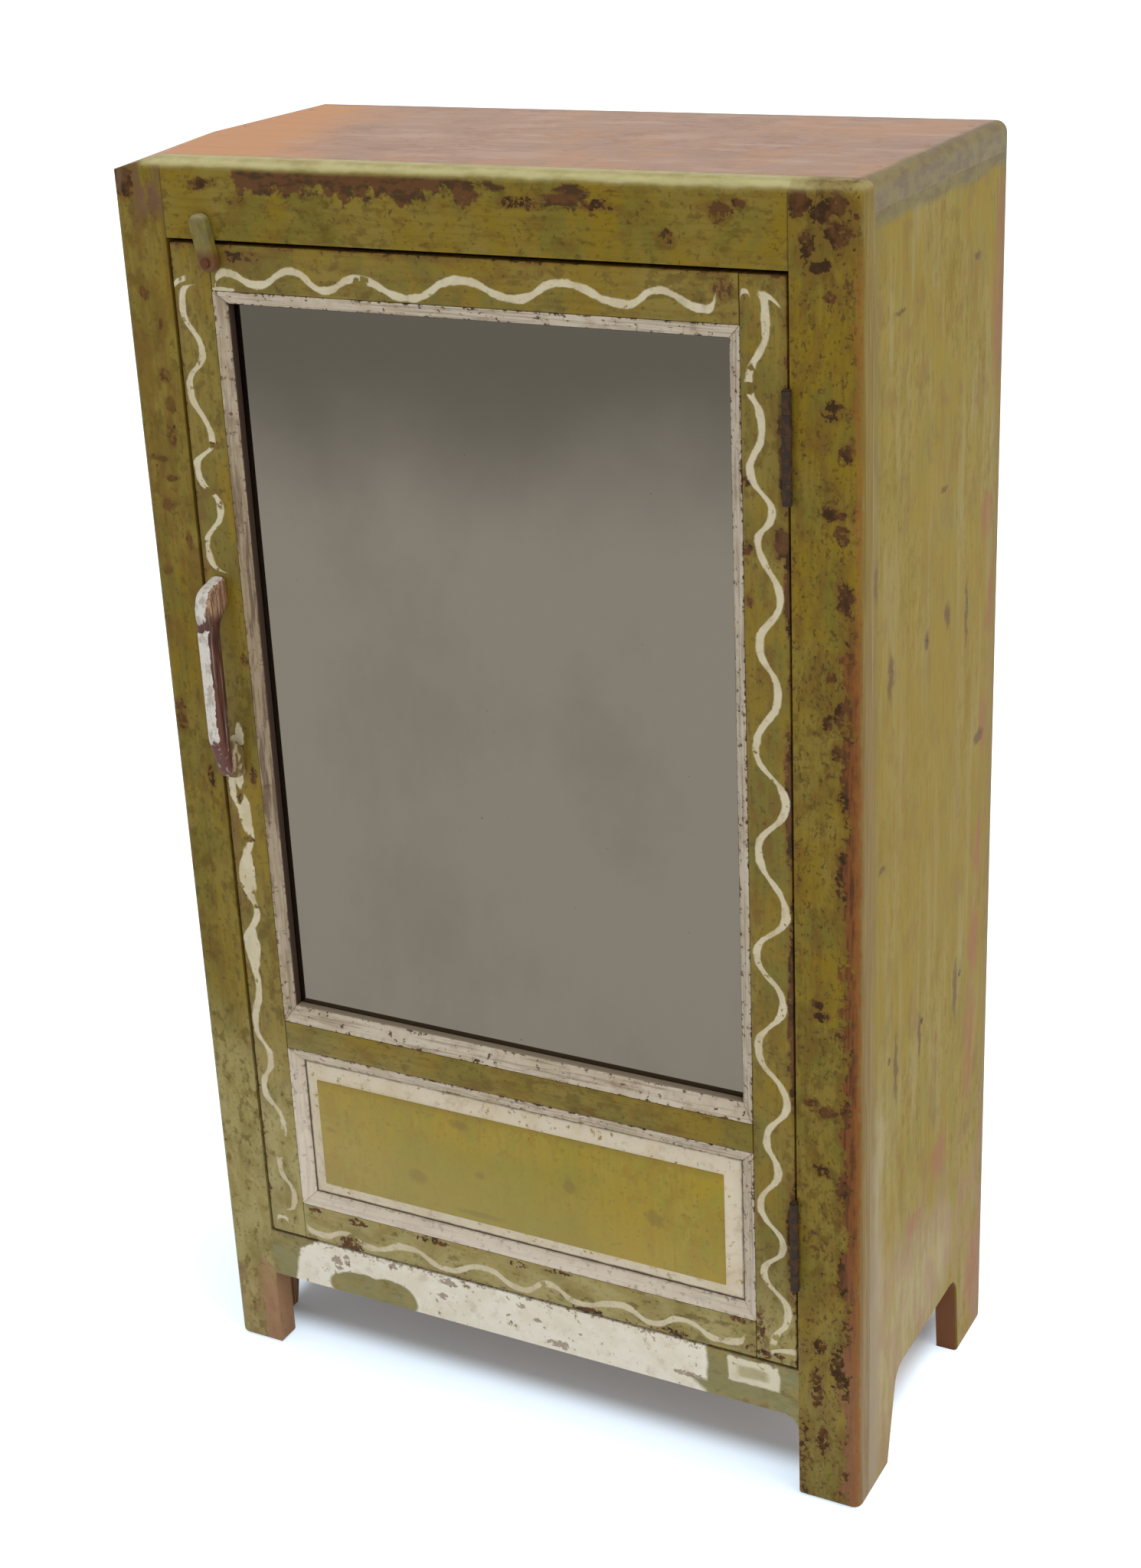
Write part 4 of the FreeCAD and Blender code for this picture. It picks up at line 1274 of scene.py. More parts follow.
        self.hide_inside(coats, shader.y.ramp(self.frame_back - 1.5, self.frame_back - 0.5))
        dress("apron_rail", coats.close(Shine.apron))

    def dress_planks(self) -> None:
        """Paints the side planks khaki outside, and leaves them bare inside."""
        paint = self.colours.side
        for name, side, seed in (("left_side", -1.0, 5.0), ("right_side", 1.0, 6.0)):
            coats = paint.start(name + "_paint", Grain.UP, seed)
            shader = coats.shader
            foot = shader.ragged(shader.z, 16.0, 45.0, seed + 0.4).ramp(70.0, 0.0)
            back_edge = shader.ragged(shader.y, 3.0, 30.0, seed + 0.2).ramp(152.0, 163.0)
            paint.cover(coats, back_edge * 0.1 + foot * 0.06, Grain.UP, seed)
            streaks = shader.noise(Grain.UP.stretch(9.0, 54.0), seed + 0.45)
            rubbed = shader.blots(self.side_rubs, seed + 0.5, 7.0, 26.0)
            rubbed = rubbed * (streaks.ramp(0.32, 0.58) * 0.75 + 0.25)
            brush = shader.noise(Grain.UP.stretch(15.0, 170.0), seed + 0.46)
            coats.lay(brush.ramp(0.48, 0.68) * 0.45, CaseTints.side_brush, 0.55)
            cloud = shader.noise((26.0, 26.0, 40.0), seed + 0.465, 6.0)
            coats.lay(cloud.ramp(0.52, 0.66) * 0.5, CaseTints.side_cloud, 0.55)
            scuff = shader.noise(Grain.UP.stretch(2.6, 34.0), seed + 0.47)
            coats.lay(scuff.ramp(0.6, 0.7) * 0.45, CaseTints.side_scuff, 0.58)
            belt = shader.ragged(shader.z, 14.0, 90.0, seed + 0.48).within(430.0, 740.0, 80.0)
            coats.lay(belt * 0.35, CaseTints.side_belt, 0.55)
            coats.lay(rubbed * 0.95, CaseTints.side_rub, 0.58)
            edge = shader.ragged(shader.y, 4.0, 40.0, seed + 0.52).ramp(132.0, 158.0)
            coats.lay(edge * 0.4, CaseTints.side_back, 0.55)
            # Painted reflection of the white floor: pale patches low on the side, towards the front
            floor_sheen = shader.blots(self.side_sheen_marks, seed + 0.55, 12.0, 44.0)
            floor_sheen = floor_sheen * (streaks.ramp(0.6, 0.4) * 0.5 + 0.5)
            coats.lay(floor_sheen * 0.65, CaseTints.side_floor_sheen, 0.56)
            pink = shader.z.ramp(270.0, 150.0) * cloud.ramp(0.42, 0.56)
            coats.lay(pink * 0.45, CaseTints.side_pink, 0.56)
            stains = shader.blots(self.side_stains, seed + 0.6, 4.0, 12.0)
            coats.lay(stains * 0.75, CaseTints.side_stain, 0.55)
            band = shader.ragged(shader.z, 4.0, 40.0, seed + 0.7).ramp(1024.0, 1032.0)
            coats.lay(band * 0.85, self.dull(shader, seed + 0.75), 0.48)
            strip = shader.ragged(shader.y, 2.0, 40.0, seed + 0.8)
            coats.lay(strip.within(-117.0, -105.0, 4.0) * 0.4, CaseTints.side_seam, 0.5)
            low = shader.z.ramp(420.0, 160.0)
            coats.lay(strip.ramp(-84.0, -106.0) * low * 0.6, CaseTints.side_front, 0.5)
            # Painted shade: the foot's faces other than the outer one are dark at the front, where they lie
            # in shadow behind the post, and take the real orange-brown of the back foot further back
            within = (shader.x * side).ramp(self.half_width - 1.0, self.half_width - 2.5)
            tan = shader.mix(shader.y.ramp(60.0, 90.0), CaseTints.painted_foot_shade, CaseTints.foot_inside)
            coats.lay(within * shader.z.ramp(125.0, 105.0) * 0.9, tan, 0.66)
            inside = (shader.x * side).ramp(self.inner_half + 1.0, self.inner_half + 0.4)
            self.hide_inside(coats, inside)
            dress(name, coats.close(Shine.side))

    @staticmethod
    def dull(shader: Shader, seed: float) -> bpy.types.NodeSocket:
        """Mixes the grey-green of the band round the top.

        Args:
            shader: the material that it goes into.
            seed: a number that moves the pattern.
        Returns:
            The colour.
        """
        patch = shader.noise((14.0, 22.0, 9.0), seed)
        return shader.mix(patch.ramp(0.4, 0.62), CaseTints.dull_green, CaseTints.dull_brown)

    def dress_top(self) -> None:
        """Paints the top board red-brown, more orange at the left."""
        seed = 7.0
        paint = self.colours.top
        coats = paint.start("top_paint", Grain.ACROSS, seed)
        shader = coats.shader
        paint.cover(coats, 0.0, Grain.ACROSS, seed)
        slant = shader.x + (shader.y - 14.0) * 0.35
        left = shader.ragged(slant, 12.0, 90.0, seed + 0.4).ramp(-165.0, -235.0)
        patch = shader.noise((70.0, 26.0, 70.0), seed + 0.42)
        coats.lay(patch.ramp(0.5, 0.66) * 0.5, CaseTints.top_shade, 0.46)
        coats.lay(patch.ramp(0.48, 0.34) * 0.5, CaseTints.top_pale, 0.46)
        glaze = shader.noise((70.0, 110.0, 70.0), seed + 0.43).ramp(0.5, 0.62)
        coats.lay(glaze * 0.5, CaseTints.top_glaze, 0.42)
        coats.lay(left * (patch.ramp(0.3, 0.5) * 0.4 + 0.5), CaseTints.top_orange, 0.42)
        line = shader.noise(Grain.ACROSS.stretch(2.4, 150.0), seed + 0.45).ramp(0.52, 0.68)
        coats.lay(line * 0.4, CaseTints.top_grain, 0.5)
        back = shader.ragged(shader.y, 4.0, 50.0, seed + 0.5).ramp(142.0, 160.0)
        coats.lay(back * 0.5, CaseTints.top_back, 0.5)
        edge = shader.ragged(shader.x, 2.5, 40.0, seed + 0.6).ramp(290.0, 297.0)
        coats.lay(edge * 0.9, self.dull(shader, seed + 0.7), 0.5)
        self.hide_inside(coats, shader.z.ramp(1038.4, 1038.1))
        dress("worn_top_board", coats.close(Shine.top))

    def dress_bare_boards(self) -> None:
        """Leaves the shelves, the bottom and the back as old wood."""
        wood = self.colours.wood
        for number, name in enumerate(("bottom_board", "lower_shelf", "upper_shelf")):
            dress(name, wood.start(name + "_wood", Grain.ACROSS, 10.0 + number).close(Shine.wood))
        for number, share in enumerate(self.back_shares, 1):
            pale, dark = (tuple(share * part for part in tint) for tint in (wood.pale, wood.dark))
            name = f"back_board_{number}"
            coats = BareWood(pale, dark).start(name + "_wood", Grain.UP, 14.0 + number)
            dress(name, coats.close(Shine.wood))

    def dress_nails(self) -> None:
        """Paints over the nail heads of the sides and the top, and rusts those of the back."""
        painted = self.colours.side_nail.material("side_nail_paint", 22.0)
        dress("left_shelf_nails", painted)
        dress("right_shelf_nails", painted)
        dress("worn_top_nails", self.colours.top_nail.material("top_nail_paint", 23.0))
        dress("back_nails", self.colours.iron.material("nail_iron", 21.0))

    def build(self) -> None:
        """Wears the corner and dresses the whole case."""
        self.build_corner()
        self.dress_left_post()
        self.dress_right_post()
        self.dress_top_rail()
        self.dress_apron()
        self.dress_planks()
        self.dress_top()
        self.dress_bare_boards()
        self.dress_nails()


@dataclass(frozen=True)
class DoorMarks:
    """What the brush and the years left on one board of the door."""

    lines: tuple[WaveLine, ...] = ()
    smears: tuple[Blot, ...] = ()
    chips: tuple[Blot, ...] = ()
    gaps: tuple[Blot, ...] = ()


@dataclass
class Door:
    """The door: its frame, mouldings, mirror and panel."""

    colours: type[Palette]
    low: Vector
    high: Vector
    inside_left: float
    inside_right: float
    ease_width: float = 1.1 * MM
    moulding_ease: float = 0.9 * MM
    panel_ease: float = 0.6 * MM
    face_size: float = 14.0 * MM
    hollow_depth: float = 0.5 * MM
    hollow_width: float = 16.0 * MM

    top_marks = DoorMarks(
        lines=(
            WaveLine(
                turns=(
                    (-217.0, 966.5), (-206.0, 977.0), (-179.0, 969.0), (-147.0, 981.0), (-119.0, 968.0),
                    (-92.0, 978.0), (-47.0, 966.5), (-4.0, 982.0), (40.0, 971.0), (78.0, 984.0),
                    (128.0, 972.0), (153.0, 983.0), (188.0, 972.0), (196.0, 979.0),
                ),
                upright=False,
            ),
        ),
        smears=Blot.on_front((-210, 964, 12, 2.5)),
        chips=Blot.on_front((202, 986, 10, 10), (-190, 990, 22, 5)),
        gaps=Blot.on_front((-87, 977, 6, 6), (-222, 975, 7, 10)),
    )
    low_marks = DoorMarks(
        lines=(
            WaveLine(
                turns=(
                    (-218.0, 136.0), (-202.0, 131.0), (-177.0, 138.5), (-153.0, 131.0), (-112.0, 141.0),
                    (-77.0, 129.5), (-39.0, 141.0), (-2.0, 129.5), (24.0, 142.0), (51.0, 131.0),
                    (94.0, 140.0), (119.0, 131.0), (149.0, 142.0), (179.0, 132.0), (203.0, 141.0),
                ),
                upright=False,
            ),
        ),
        chips=Blot.on_front(
            (-172, 131, 14, 9), (-208, 155, 11, 4), (-164, 153, 12, 5), (-90, 155, 22, 4),
            (-5, 154, 11, 4), (32, 156, 14, 3), (140, 128, 16, 4), (198, 156, 12, 4),
            (205, 132, 12, 6), (60, 127, 18, 3),
        ),
        gaps=Blot.on_front((-170, 132, 14, 9), (206, 136, 3, 10)),
    )
    free_marks = DoorMarks(
        lines=(
            WaveLine(
                turns=(
                    (966.0, -240.0), (948.0, -249.0), (915.0, -235.0), (888.0, -250.0), (845.0, -234.0),
                    (824.0, -251.0), (806.0, -243.0), (790.0, -233.0), (760.0, -249.0), (739.0, -236.0),
                ),
                upright=True,
            ),
            WaveLine(
                turns=(
                    (600.0, -238.0), (550.0, -249.0), (515.0, -236.0), (470.0, -249.0), (440.0, -238.0),
                    (410.0, -251.0), (370.0, -244.0),
                    (330.0, -251.0), (300.0, -239.0), (270.0, -249.0), (238.0, -233.0), (192.0, -241.0),
                    (165.0, -229.0), (148.0, -237.0),
                ),
                upright=True,
            ),
            WaveLine(turns=((-256.0, 964.0), (-250.0, 969.0), (-244.0, 971.0)), upright=False, width=4.4),
            WaveLine(turns=((-250.0, 135.0), (-244.0, 139.0), (-238.0, 137.0)), upright=False, width=4.4),
        ),
        smears=Blot.on_front(
            (-237, 601, 5, 11), (-242, 566, 5, 16), (-239, 530, 7, 18), (-242, 474, 7, 28),
            (-245, 405, 7, 24),
        ),
        chips=Blot.on_front(
            (-231, 842, 5, 4), (-243, 545, 4, 7), (-227, 565, 4, 10), (-238, 507, 6, 3),
            (-225, 666, 5, 6),
        ),
        gaps=Blot.on_front(
            (-234, 841, 5, 5), (-240, 804, 6, 4), (-238, 216, 10, 24), (-238, 507, 8, 4),
            (-243, 545, 4, 7),
        ),
    )
    hinge_marks = DoorMarks(
        lines=(
            WaveLine(
                turns=(
                    (984.0, 230.0), (960.0, 233.0), (925.0, 220.0), (912.0, 223.0), (890.0, 229.0),
                    (862.0, 220.0), (832.0, 236.0), (812.0, 225.0), (770.0, 241.0), (735.0, 225.0),
                    (700.0, 239.0), (655.0, 221.0), (615.0, 244.0), (575.0, 222.0), (525.0, 243.0),
                    (490.0, 219.0), (450.0, 240.0), (410.0, 219.0), (365.0, 242.0), (330.0, 225.0),
                    (303.0, 234.0), (270.0, 219.0), (234.0, 238.0), (209.0, 221.0), (175.0, 241.0),
                    (155.0, 233.0), (141.0, 228.0),
                ),
                upright=True,
            ),
            WaveLine(turns=((214.5, 983.0), (218.0, 986.0), (221.0, 984.0)), upright=False, width=3.4),
            WaveLine(turns=((228.0, 985.0), (235.0, 983.0), (243.0, 977.0)), upright=False, width=3.4),
            WaveLine(turns=((226.0, 133.0), (239.0, 138.0), (248.0, 139.0)), upright=False, width=4.0),
        ),
        chips=Blot.on_front(
            (245, 880, 5, 52), (242, 812, 7, 13), (247, 780, 4, 34), (217, 854, 4, 5),
            (217, 806, 5, 6), (217, 767, 5, 6), (246, 620, 4, 60), (247, 440, 4, 80),
            (245, 240, 5, 60), (216, 152, 6, 16), (226, 130, 18, 5),
        ),
        gaps=Blot.on_front((220, 920, 6, 4), (232, 148, 6, 3)),
    )
    panel_smudges = Blot.on_front(
        (-98, 216, 9, 7), (-37, 232, 5, 4), (-184, 241, 6, 3), (48, 244, 5, 9), (125, 232, 8, 8),
        (-55, 277, 9, 5), (-40, 193, 26, 3),
    )

    strips = tuple(
        (place, side) for place in ("mirror", "panel") for side in ("top", "right", "bottom", "left")
    )

    @classmethod
    def measured(cls, colours: type[Palette]) -> "Door":
        """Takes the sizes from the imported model.

        Args:
            colours: the finishes.
        Returns:
            The door, with its sizes in metres.
        """
        free_low, free_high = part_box("door_free_stile")
        hinge_low, hinge_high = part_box("door_hinge_stile")
        return cls(colours, free_low, hinge_high, free_high.x, hinge_low.x)

    def build_frame(self) -> None:
        """Planes the stiles and rails, with eased and worn edges."""
        spans = {
            "door_free_stile": (self.low.x, self.inside_left),
            "door_hinge_stile": (self.inside_right, self.high.x),
            "door_top_rail": (self.inside_left, self.inside_right),
            "door_middle_rail": (self.inside_left, self.inside_right),
            "door_bottom_rail": (self.inside_left, self.inside_right),
        }
        for node, (left, right) in spans.items():
            low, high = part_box(node)
            low = Vector((left, low.y, low.z))
            high = Vector((right, high.y, high.z))
            board = Bench.block("eased_" + node, low, high)
            Bench.divide(board, self.face_size)
            Bench.ease(board, self.ease_width, 2)
            Bench.wear_down(board, self.hollow_depth, self.hollow_width)
            Bench.settle(board, "door", "green_paint", (node,))
            LOG.info("built %s", board.name)

    def build_mouldings(self) -> None:
        """Rounds the edges of the strips round the mirror and the panel, and of the panel."""
        for place, side in self.strips:
            node = f"{place}_moulding_{side}"
            strip = Bench.copy_of(node, "eased_" + node)
            Bench.ease(strip, self.moulding_ease, 2)
            Bench.settle(strip, "door", "cream_paint", (node,))
            LOG.info("built %s", strip.name)
        panel = Bench.copy_of("raised_panel", "eased_raised_panel")
        Bench.ease(panel, self.panel_ease, 2)
        Bench.settle(panel, "door", "panel_paint", ("raised_panel",))
        LOG.info("built %s", panel.name)

    def back_bare(self, coats: Coats, grain: Grain, back: float) -> None:
        """Leaves the back of a piece of the door as bare wood.

        Args:
            coats: the finish so far.
            grain: the way that the grain runs.
            back: how far back the piece reaches, in metres.
        """
        bare = coats.shader.y.ramp(back / MM - 2.5, back / MM - 1.5)
        self.colours.wood.show(coats, bare, grain, 41.0, 0.36)

    def dress_frame(self) -> None:
        """Paints the stiles and rails, and draws the wavy lines on them."""
        self.dress_board("door_free_stile", Grain.UP, 31.0, self.free_marks)
        self.dress_board("door_hinge_stile", Grain.UP, 32.0, self.hinge_marks)
        self.dress_board("door_top_rail", Grain.ACROSS, 33.0, self.top_marks)
        self.dress_board("door_middle_rail", Grain.ACROSS, 34.0, DoorMarks())
        self.dress_board("door_bottom_rail", Grain.ACROSS, 35.0, self.low_marks)

    def dress_board(self, node: str, grain: Grain, seed: float, marks: DoorMarks) -> None:
        """Paints one stile or rail, and what the brush and the years left on it.

        Args:
            node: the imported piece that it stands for.
            grain: the way that its grain runs.
            seed: a number that moves the pattern.
            marks: its lines, blots, chips and gaps.
        """
        paint = self.colours.front
        coats = paint.start(node + "_paint", grain, seed)
        shader = coats.shader
        x = shader.ragged(shader.x, 2.0, 18.0, seed + 0.2)
        z = shader.ragged(shader.z, 2.0, 18.0, seed + 0.3)
        side = (x - self.low.x / MM).least(self.high.x / MM - x)
        ends = (z - self.low.z / MM).least(self.high.z / MM - z)
        rim = side.least(ends).ramp(4.5, 0.0)
        chips = shader.blots(marks.chips, seed + 0.4, 1.8, 10.0)
        # The last number sets the painted reflection of the white floor near the bottom
        paint.cover(coats, rim * 0.12 + chips * 0.19 + 0.01, grain, seed, 0.8)
        lines = shader.blots(marks.smears, seed + 0.5, 1.6, 10.0).ramp(0.3, 0.6)
        for line in marks.lines:
            lines = line.mask(shader, seed).most(lines)
        faint = shader.noise((44.0, 44.0, 60.0), seed + 0.7, 3.0).ramp(0.5, 0.72)
        gaps = shader.blots(marks.gaps, seed + 0.8, 2.0, 12.0)
        self.colours.cream.cover(coats, lines * 0.9, faint * 0.09 + gaps * 0.3, seed)
        self.back_bare(coats, grain, self.high.y)
        dress("eased_" + node, coats.close(Shine.door))

    def dress_mouldings(self) -> None:
        """Paints the strips cream, with brown showing on their worn edges."""
        for number, (place, side) in enumerate(self.strips, 51):
            self.dress_strip(f"{place}_moulding_{side}", side, float(number), place == "mirror")

    def dress_strip(self, node: str, side: str, seed: float, round_glass: bool) -> None:
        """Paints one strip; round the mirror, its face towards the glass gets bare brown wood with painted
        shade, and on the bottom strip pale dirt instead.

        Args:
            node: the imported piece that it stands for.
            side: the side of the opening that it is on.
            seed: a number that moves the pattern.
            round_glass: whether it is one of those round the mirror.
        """
        grain = Grain.ACROSS if side in ("top", "bottom") else Grain.UP
        coats = self.colours.front.start(node + "_paint", grain, seed)
        shader = coats.shader
        low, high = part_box(node)
        plain, start, end = shader.x, low.x, high.x
        if grain is Grain.ACROSS:
            plain, start, end = shader.z, low.z, high.z
        across = shader.ragged(plain, 1.2, 10.0, seed + 0.2)
        rim = (across - start / MM).least(end / MM - across).ramp(2.2, 0.0)
        split = shader.noise(grain.stretch(3.0, 46.0), seed + 0.4, MEDIUM).ramp(0.58, 0.7)
        self.colours.strip.cover(coats, 1.0, rim * 0.1 + split * 0.12, seed)
        groove = shader.noise(grain.stretch(2.4, 70.0), seed + 0.6).ramp(0.48, 0.64)
        coats.lay(groove * 0.5, self.colours.strip.dirt, 0.6)
        nick = shader.noise(5.0, seed + 0.65)
        coats.lay((nick + rim * 0.06).ramp(0.61, 0.66) * 0.85, self.colours.front.chip, 0.65, -0.1)
        if node == "mirror_moulding_left":
            held = shader.z.within(470.0, 830.0, 90.0) * 0.4 + 0.3
            coats.lay(held, DoorTints.strip_held, 0.6)
            smut = shader.noise((4.0, 4.0, 50.0), seed + 0.7).ramp(0.46, 0.6)
            coats.lay(smut * held, DoorTints.strip_smut, 0.6)
        # Painted reflection of the white floor: paler near the floor
        coats.paint_floor_sheen(0.55, seed + 0.8, DoorTints.strip_floor_sheen)
        if round_glass:
            inner = plain - start / MM if side in ("top", "right") else end / MM - plain
            # Bare brown wood with painted shade on the face towards the glass, pale dirt on the bottom
            # strip
            dirt = DoorTints.lip_pale if side == "bottom" else DoorTints.lip_bare_and_shade
            coats.lay(inner.ramp(0.9, 0.3), dirt, 0.75)
        dress("eased_" + node, coats.close(Shine.door))

    def dress_panel(self) -> None:
        """Paints the panel cream round its olive-gold field."""
        seed = 70.0
        _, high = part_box("raised_panel")
        gold = self.colours.gold
        coats = gold.start("panel_paint", Grain.ACROSS, seed)
        shader = coats.shader
        gold.cover(coats, 0.0, Grain.UP, seed)
        middle = shader.ragged(shader.x, 22.0, 90.0, seed + 0.4).within(-130.0, 60.0, 70.0)
        green = middle * shader.ragged(shader.z, 9.0, 60.0, seed + 0.6).ramp(272.0, 248.0)
        coats.lay(green * 0.55, DoorTints.panel_green, 0.42)
        smudge = shader.blots(self.panel_smudges, seed + 1.0, 3.0, 14.0)
        coats.lay(smudge * 0.5, DoorTints.panel_smudge, 0.5)
        top_edge = shader.ragged(shader.z, 1.5, 20.0, seed + 1.3).ramp(281.0, 287.0)
        coats.lay(top_edge * 0.4, DoorTints.panel_shade, 0.48)
        sunk = shader.y.ramp(-134.0, -133.4)
        # Painted reflection of the white floor: paler near the floor
        coats.paint_floor_sheen(0.3, seed + 1.6, DoorTints.panel_floor_sheen)
        self.colours.bevel.cover(coats, sunk, 0.02, seed + 2.0)
        # Painted shade: the edge of the panel that sits in the groove is darkened
        groove_shade = shader.ragged(shader.y, 0.25, 16.0, seed + 2.6).ramp(-129.0, -128.1)
        coats.lay(groove_shade * 0.85, DoorTints.panel_groove_shade, 0.7)
        self.back_bare(coats, Grain.ACROSS, high.y)
        dress("eased_raised_panel", coats.close(Shine.panel))

    def dress_mirror(self) -> None:
        """Silvers the glass and stains the board behind it."""
        dress("mirror_glass", self.colours.mirror.material("silvered_glass"))
        wood = self.colours.wood
        dress("mirror_backing", wood.start("backing_wood", Grain.UP, 80.0).close(Shine.wood))

    def dress_ironwork(self) -> None:
        """Rusts the hinges, screws and sprigs."""
        iron = self.colours.iron.material("hinge_iron", 81.0)
        leaves = [
            f"{place}_hinge_{part}"
            for place in ("lower", "upper")
            for part in ("case_leaf", "door_leaf", "pin")
        ]
        for name in (*leaves, "hinge_case_screws", "hinge_door_screws", "handle_screws", "backing_sprigs"):
            dress(name, iron)

    def build(self) -> None:
        """Builds and dresses the door."""
        self.build_frame()
        self.build_mouldings()
        self.dress_frame()
        self.dress_mouldings()
        self.dress_panel()
        self.dress_mirror()
        self.dress_ironwork()


@dataclass
class PullHandle:
    """The wooden bow that the door is pulled by."""

    colours: type[Palette]
    grain: float = 1.0 * MM
    rounds: int = 5
    crown: float = 716.0 * MM
    crown_rounds: int = 24

    def build(self) -> None:
        """Whittles the bow and paints it."""
        bow = Bench.copy_of("pull_handle", "whittled_handle")
        Bench.whittle(bow, self.grain, self.rounds)
        Bench.round_over(bow, self.crown, self.crown_rounds)
        Bench.settle(bow, "door", "handle_paint", ("pull_handle",))
        LOG.info("built %s", bow.name)
        self.dress()

    def dress(self) -> None:
        """Paints the bow cream, worn to red-brown where it is held."""
        seed = 90.0
        low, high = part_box("pull_handle")
        coats = self.colours.front.start("handle_paint", Grain.UP, seed)
        shader = coats.shader
        middle = (low.x + high.x) / 2 / MM
        flank = shader.ragged(shader.x, 1.6, 6.0, seed + 0.4).ramp(middle + 3.4, middle + 6.0)
        band = shader.ragged(shader.z, 7.0, 8.0, seed + 0.6).within(698.0, 707.0, 3.0)
        tail = shader.ragged(shader.z, 11.0, 9.0, seed + 0.8).ramp(612.0, 588.0)
        crown = shader.z.ramp(702.0, 716.0)
        behind = shader.ragged(shader.y, 2.0, 10.0, seed + 0.85).ramp(-155.0, -150.0)
        fibre = shader.noise(Grain.UP.stretch(1.8, 30.0), seed + 0.9)
        streak = shader.noise(Grain.UP.stretch(2.0, 60.0), seed + 1.0)
        patch = shader.noise((6.0, 6.0, 9.0), seed + 1.1)
        maroon = shader.mix(fibre.ramp(0.4, 0.6), HandleTints.maroon, HandleTints.maroon_dark)
        coats.lay(fibre * 0.0 + 1.0, maroon, 0.55)
        tan = shader.mix(fibre.ramp(0.42, 0.58), HandleTints.tan, HandleTints.tan_dark)
        coats.lay(crown * flank * (patch.ramp(0.3, 0.5) * 0.5 + 0.45), tan, 0.5)
        coats.lay(flank * (1.0 - crown) * streak.ramp(0.58, 0.66) * 0.65, HandleTints.streak, 0.5)
        chalk = shader.mix(patch.ramp(0.45, 0.62) * 0.75, HandleTints.chalk, HandleTints.chalk_dirt)
        hold = (1.0 - flank) * (1.0 - band * 0.6) * (1.0 - tail * 0.6)
        sound = (hold * 0.3 + crown * 0.06 + patch * 0.36 + fibre * 0.34).ramp(0.54, 0.6)
        coats.lay(sound, chalk, 0.42, 0.14)
        coats.lay(tail * patch.ramp(0.56, 0.48) * 0.6, HandleTints.tail_red, 0.55)
        coats.lay(tail * patch.ramp(0.56, 0.64) * 0.7, HandleTints.tail_speck, 0.5)
        olive = shader.mix(patch.ramp(0.45, 0.6), HandleTints.olive, HandleTints.olive_pale)
        coats.lay(shader.z.ramp(640.0, 610.0) * behind * flank * 0.85, olive, 0.5)
        dress("whittled_handle", coats.close(Shine.handle))


@dataclass
class TurnButton:
    """The wooden button that keeps the door shut, with its screw."""

    colours: type[Palette]
    grain: float = 0.6 * MM
    rounds: int = 6

    def build(self) -> None:
        """Whittles the button and paints it."""
        button = Bench.copy_of("turn_button", "whittled_button")
        Bench.whittle(button, self.grain, self.rounds)
        Bench.settle(button, "turn_button", "green_paint", ("turn_button",))
        LOG.info("built %s", button.name)
        self.dress()

    def dress(self) -> None:
        """Paints the button green, worn red-brown round its screw, with a painted highlight on its top end.
        """
        seed = 95.0
        paint = self.colours.front
        coats = paint.start("button_paint", Grain.UP, seed)
        shader = coats.shader
        paint.cover(coats, 0.0, Grain.UP, seed)
        coats.lay(shader.noise(9.0, seed + 0.2, MEDIUM).ramp(0.3, 0.6) * 0.7, ButtonTints.dull, 0.45)
        worn = shader.ragged(shader.z, 2.0, 8.0, seed + 0.4).ramp(998.0, 988.0)
        coats.lay(worn * 0.85, ButtonTints.worn, 0.6)
        # Painted highlight: the top end paler, as if lit from above
        end = shader.ragged(shader.z, 0.8, 6.0, seed + 0.6).ramp(1016.0, 1020.0)
        coats.lay(end * 0.6, ButtonTints.end, 0.5)
        dress("whittled_button", coats.close(Shine.button))
        dress("button_screw", self.colours.screw.material("screw_iron", 97.0))


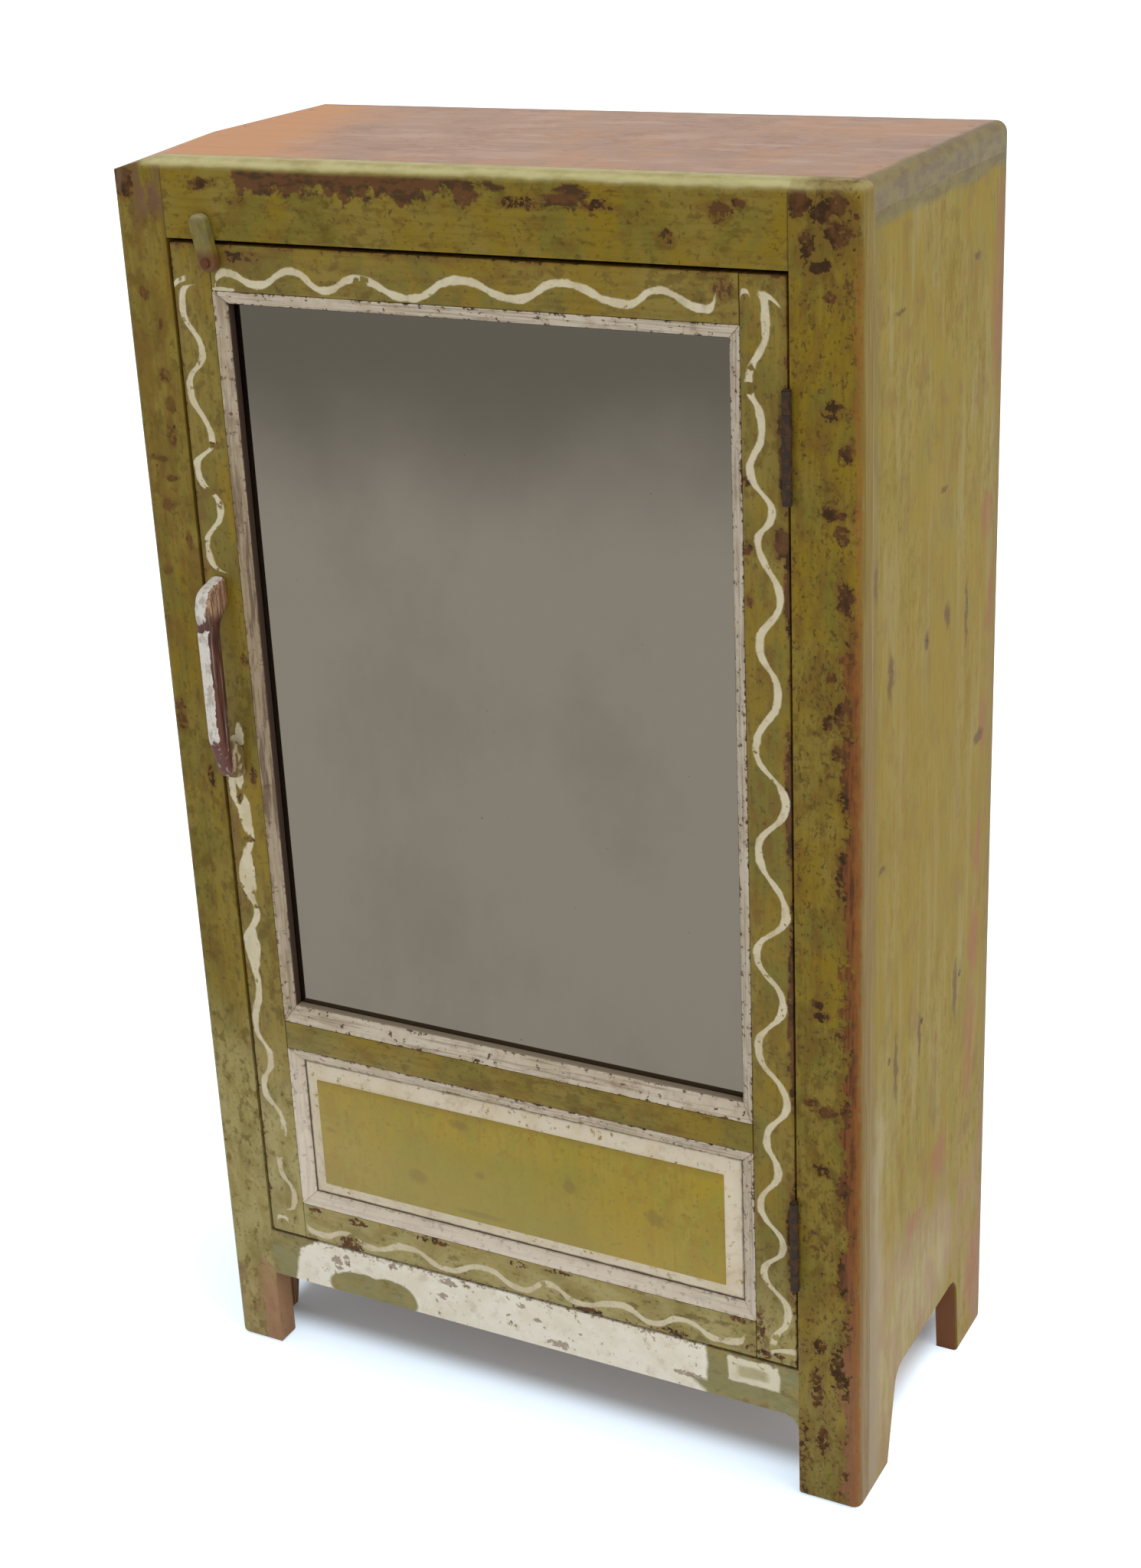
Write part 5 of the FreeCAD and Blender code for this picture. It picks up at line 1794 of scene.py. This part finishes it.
@dataclass
class Studio:
    """The pale floor, the soft light and the camera."""

    eye: Vector = Vector((0.8860, -1.6382, 1.3179))
    ahead: Vector = Vector((-0.4416, 0.8104, -0.3851))
    roll: float = math.radians(2.7)
    focal_pixels: float = 3193.3
    sky: float = 0.5
    lamp: float = 1.7
    lamp_spread: float = math.radians(75.0)
    lamp_place: Vector = Vector((2.2, 0.3, 3.0))
    floor_reach: float = 60.0
    floor_dark: Colour = (0.9, 0.9, 0.9)
    floor_pale: Colour = (0.93, 0.93, 0.93)
    glow: float = 0.75
    glow_tint: Colour = (0.68, 0.84, 1.0)
    shaded: float = 0.9

    def build_floor(self) -> None:
        """Lays a floor that looks white, with a painted shadow under the cupboard where its glow is taken
        away.
        """
        Bench.clear()
        bpy.ops.mesh.primitive_plane_add(size=self.floor_reach)
        floor = bpy.context.active_object
        floor.name = "floor"
        shader = Shader("pale_floor")
        mottle = shader.noise(400.0, 100.0, 2.0)
        tint = shader.mix(mottle, self.floor_dark, self.floor_pale)
        matt = shader.add("ShaderNodeBsdfDiffuse", {}, {"Color": tint})
        glow = shader.add("ShaderNodeEmission", {}, {"Color": self.glow_tint, "Strength": self.glow})
        both = shader.add("ShaderNodeAddShader", {}, {0: matt.outputs[0], 1: glow.outputs[0]})
        # Painted shadow: the glow is taken away in a drawn zone under the cupboard, from just behind the
        # front feet to near the back, so the shadow shows there with edges set here; the blue glow tints
        # its soft edges
        deep = shader.y.ramp(-115.0, -80.0) * shader.y.ramp(176.0, 150.0)
        under = shader.x.within(-296.0, 276.0, 14.0) * deep
        bright = self.seen_rays(shader) * (1.0 - under * self.shaded)
        mixed = shader.add("ShaderNodeMixShader", {}, {0: bright, 1: matt.outputs[0], 2: both.outputs[0]})
        shader.add("ShaderNodeOutputMaterial", {}, {"Surface": mixed.outputs[0]})
        floor.data.materials.append(shader.material)

    @staticmethod
    def seen_rays(shader: Shader) -> Channel:
        """Gives 1 for rays from the camera, and for those that glossy and clear surfaces send on.

        Args:
            shader: the material that asks.
        Returns:
            A number that is 0 or 1.
        """
        rays = shader.add("ShaderNodeLightPath").outputs
        camera, glossy, clear = (
            Channel(shader, rays[name])
            for name in ("Is Camera Ray", "Is Glossy Ray", "Is Transmission Ray")
        )
        return camera.most(glossy).most(clear)

    def build_sky(self) -> None:
        """Makes a plain soft sky, which looks white."""
        world = bpy.data.worlds.new("soft_sky")
        bpy.context.scene.world = world
        shader = SkyShader(world)
        white = (1.0, 1.0, 1.0)
        light = shader.add("ShaderNodeBackground", {}, {"Color": white, "Strength": self.sky})
        backdrop = shader.add("ShaderNodeBackground", {}, {"Color": white, "Strength": 1.0})
        sockets = {0: self.seen_rays(shader), 1: light.outputs[0], 2: backdrop.outputs[0]}
        mixed = shader.add("ShaderNodeMixShader", {}, sockets)
        shader.add("ShaderNodeOutputWorld", {}, {"Surface": mixed.outputs[0]})

    def build_lamps(self) -> None:
        """Hangs one large soft light over the right side."""
        lamp = bpy.data.lights.new("soft_light", "SUN")
        lamp.energy = self.lamp
        lamp.angle = self.lamp_spread
        holder = bpy.data.objects.new("soft_light", lamp)
        bpy.context.scene.collection.objects.link(holder)
        holder.location = self.lamp_place
        holder.rotation_euler = (-self.lamp_place).to_track_quat("-Z", "Y").to_euler()

    def build_camera(self) -> None:
        """Sets the camera where the picture was taken from."""
        lens = bpy.data.cameras.new("camera")
        lens.sensor_fit = "VERTICAL"
        lens.sensor_height = SENSOR_HEIGHT
        lens.lens = self.focal_pixels * SENSOR_HEIGHT / IMAGE_HEIGHT
        camera = bpy.data.objects.new("camera", lens)
        bpy.context.scene.collection.objects.link(camera)
        turn = self.ahead.to_track_quat("-Z", "Y").to_matrix() @ Matrix.Rotation(-self.roll, 3, "Z")
        camera.matrix_world = Matrix.Translation(self.eye) @ turn.to_4x4()
        bpy.context.scene.camera = camera

    def build(self) -> None:
        """Builds the floor, the light and the camera."""
        self.build_floor()
        self.build_sky()
        self.build_lamps()
        self.build_camera()
        bpy.context.scene.view_settings.view_transform = "Standard"


def main() -> None:
    """Builds and dresses the cupboard, then the studio round it."""
    logging.basicConfig(level=logging.INFO, format="%(name)s: %(message)s")
    Case.measured(Palette).build()
    Door.measured(Palette).build()
    PullHandle(Palette).build()
    TurnButton(Palette).build()
    Studio().build()


if __name__ == "__main__":
    main()
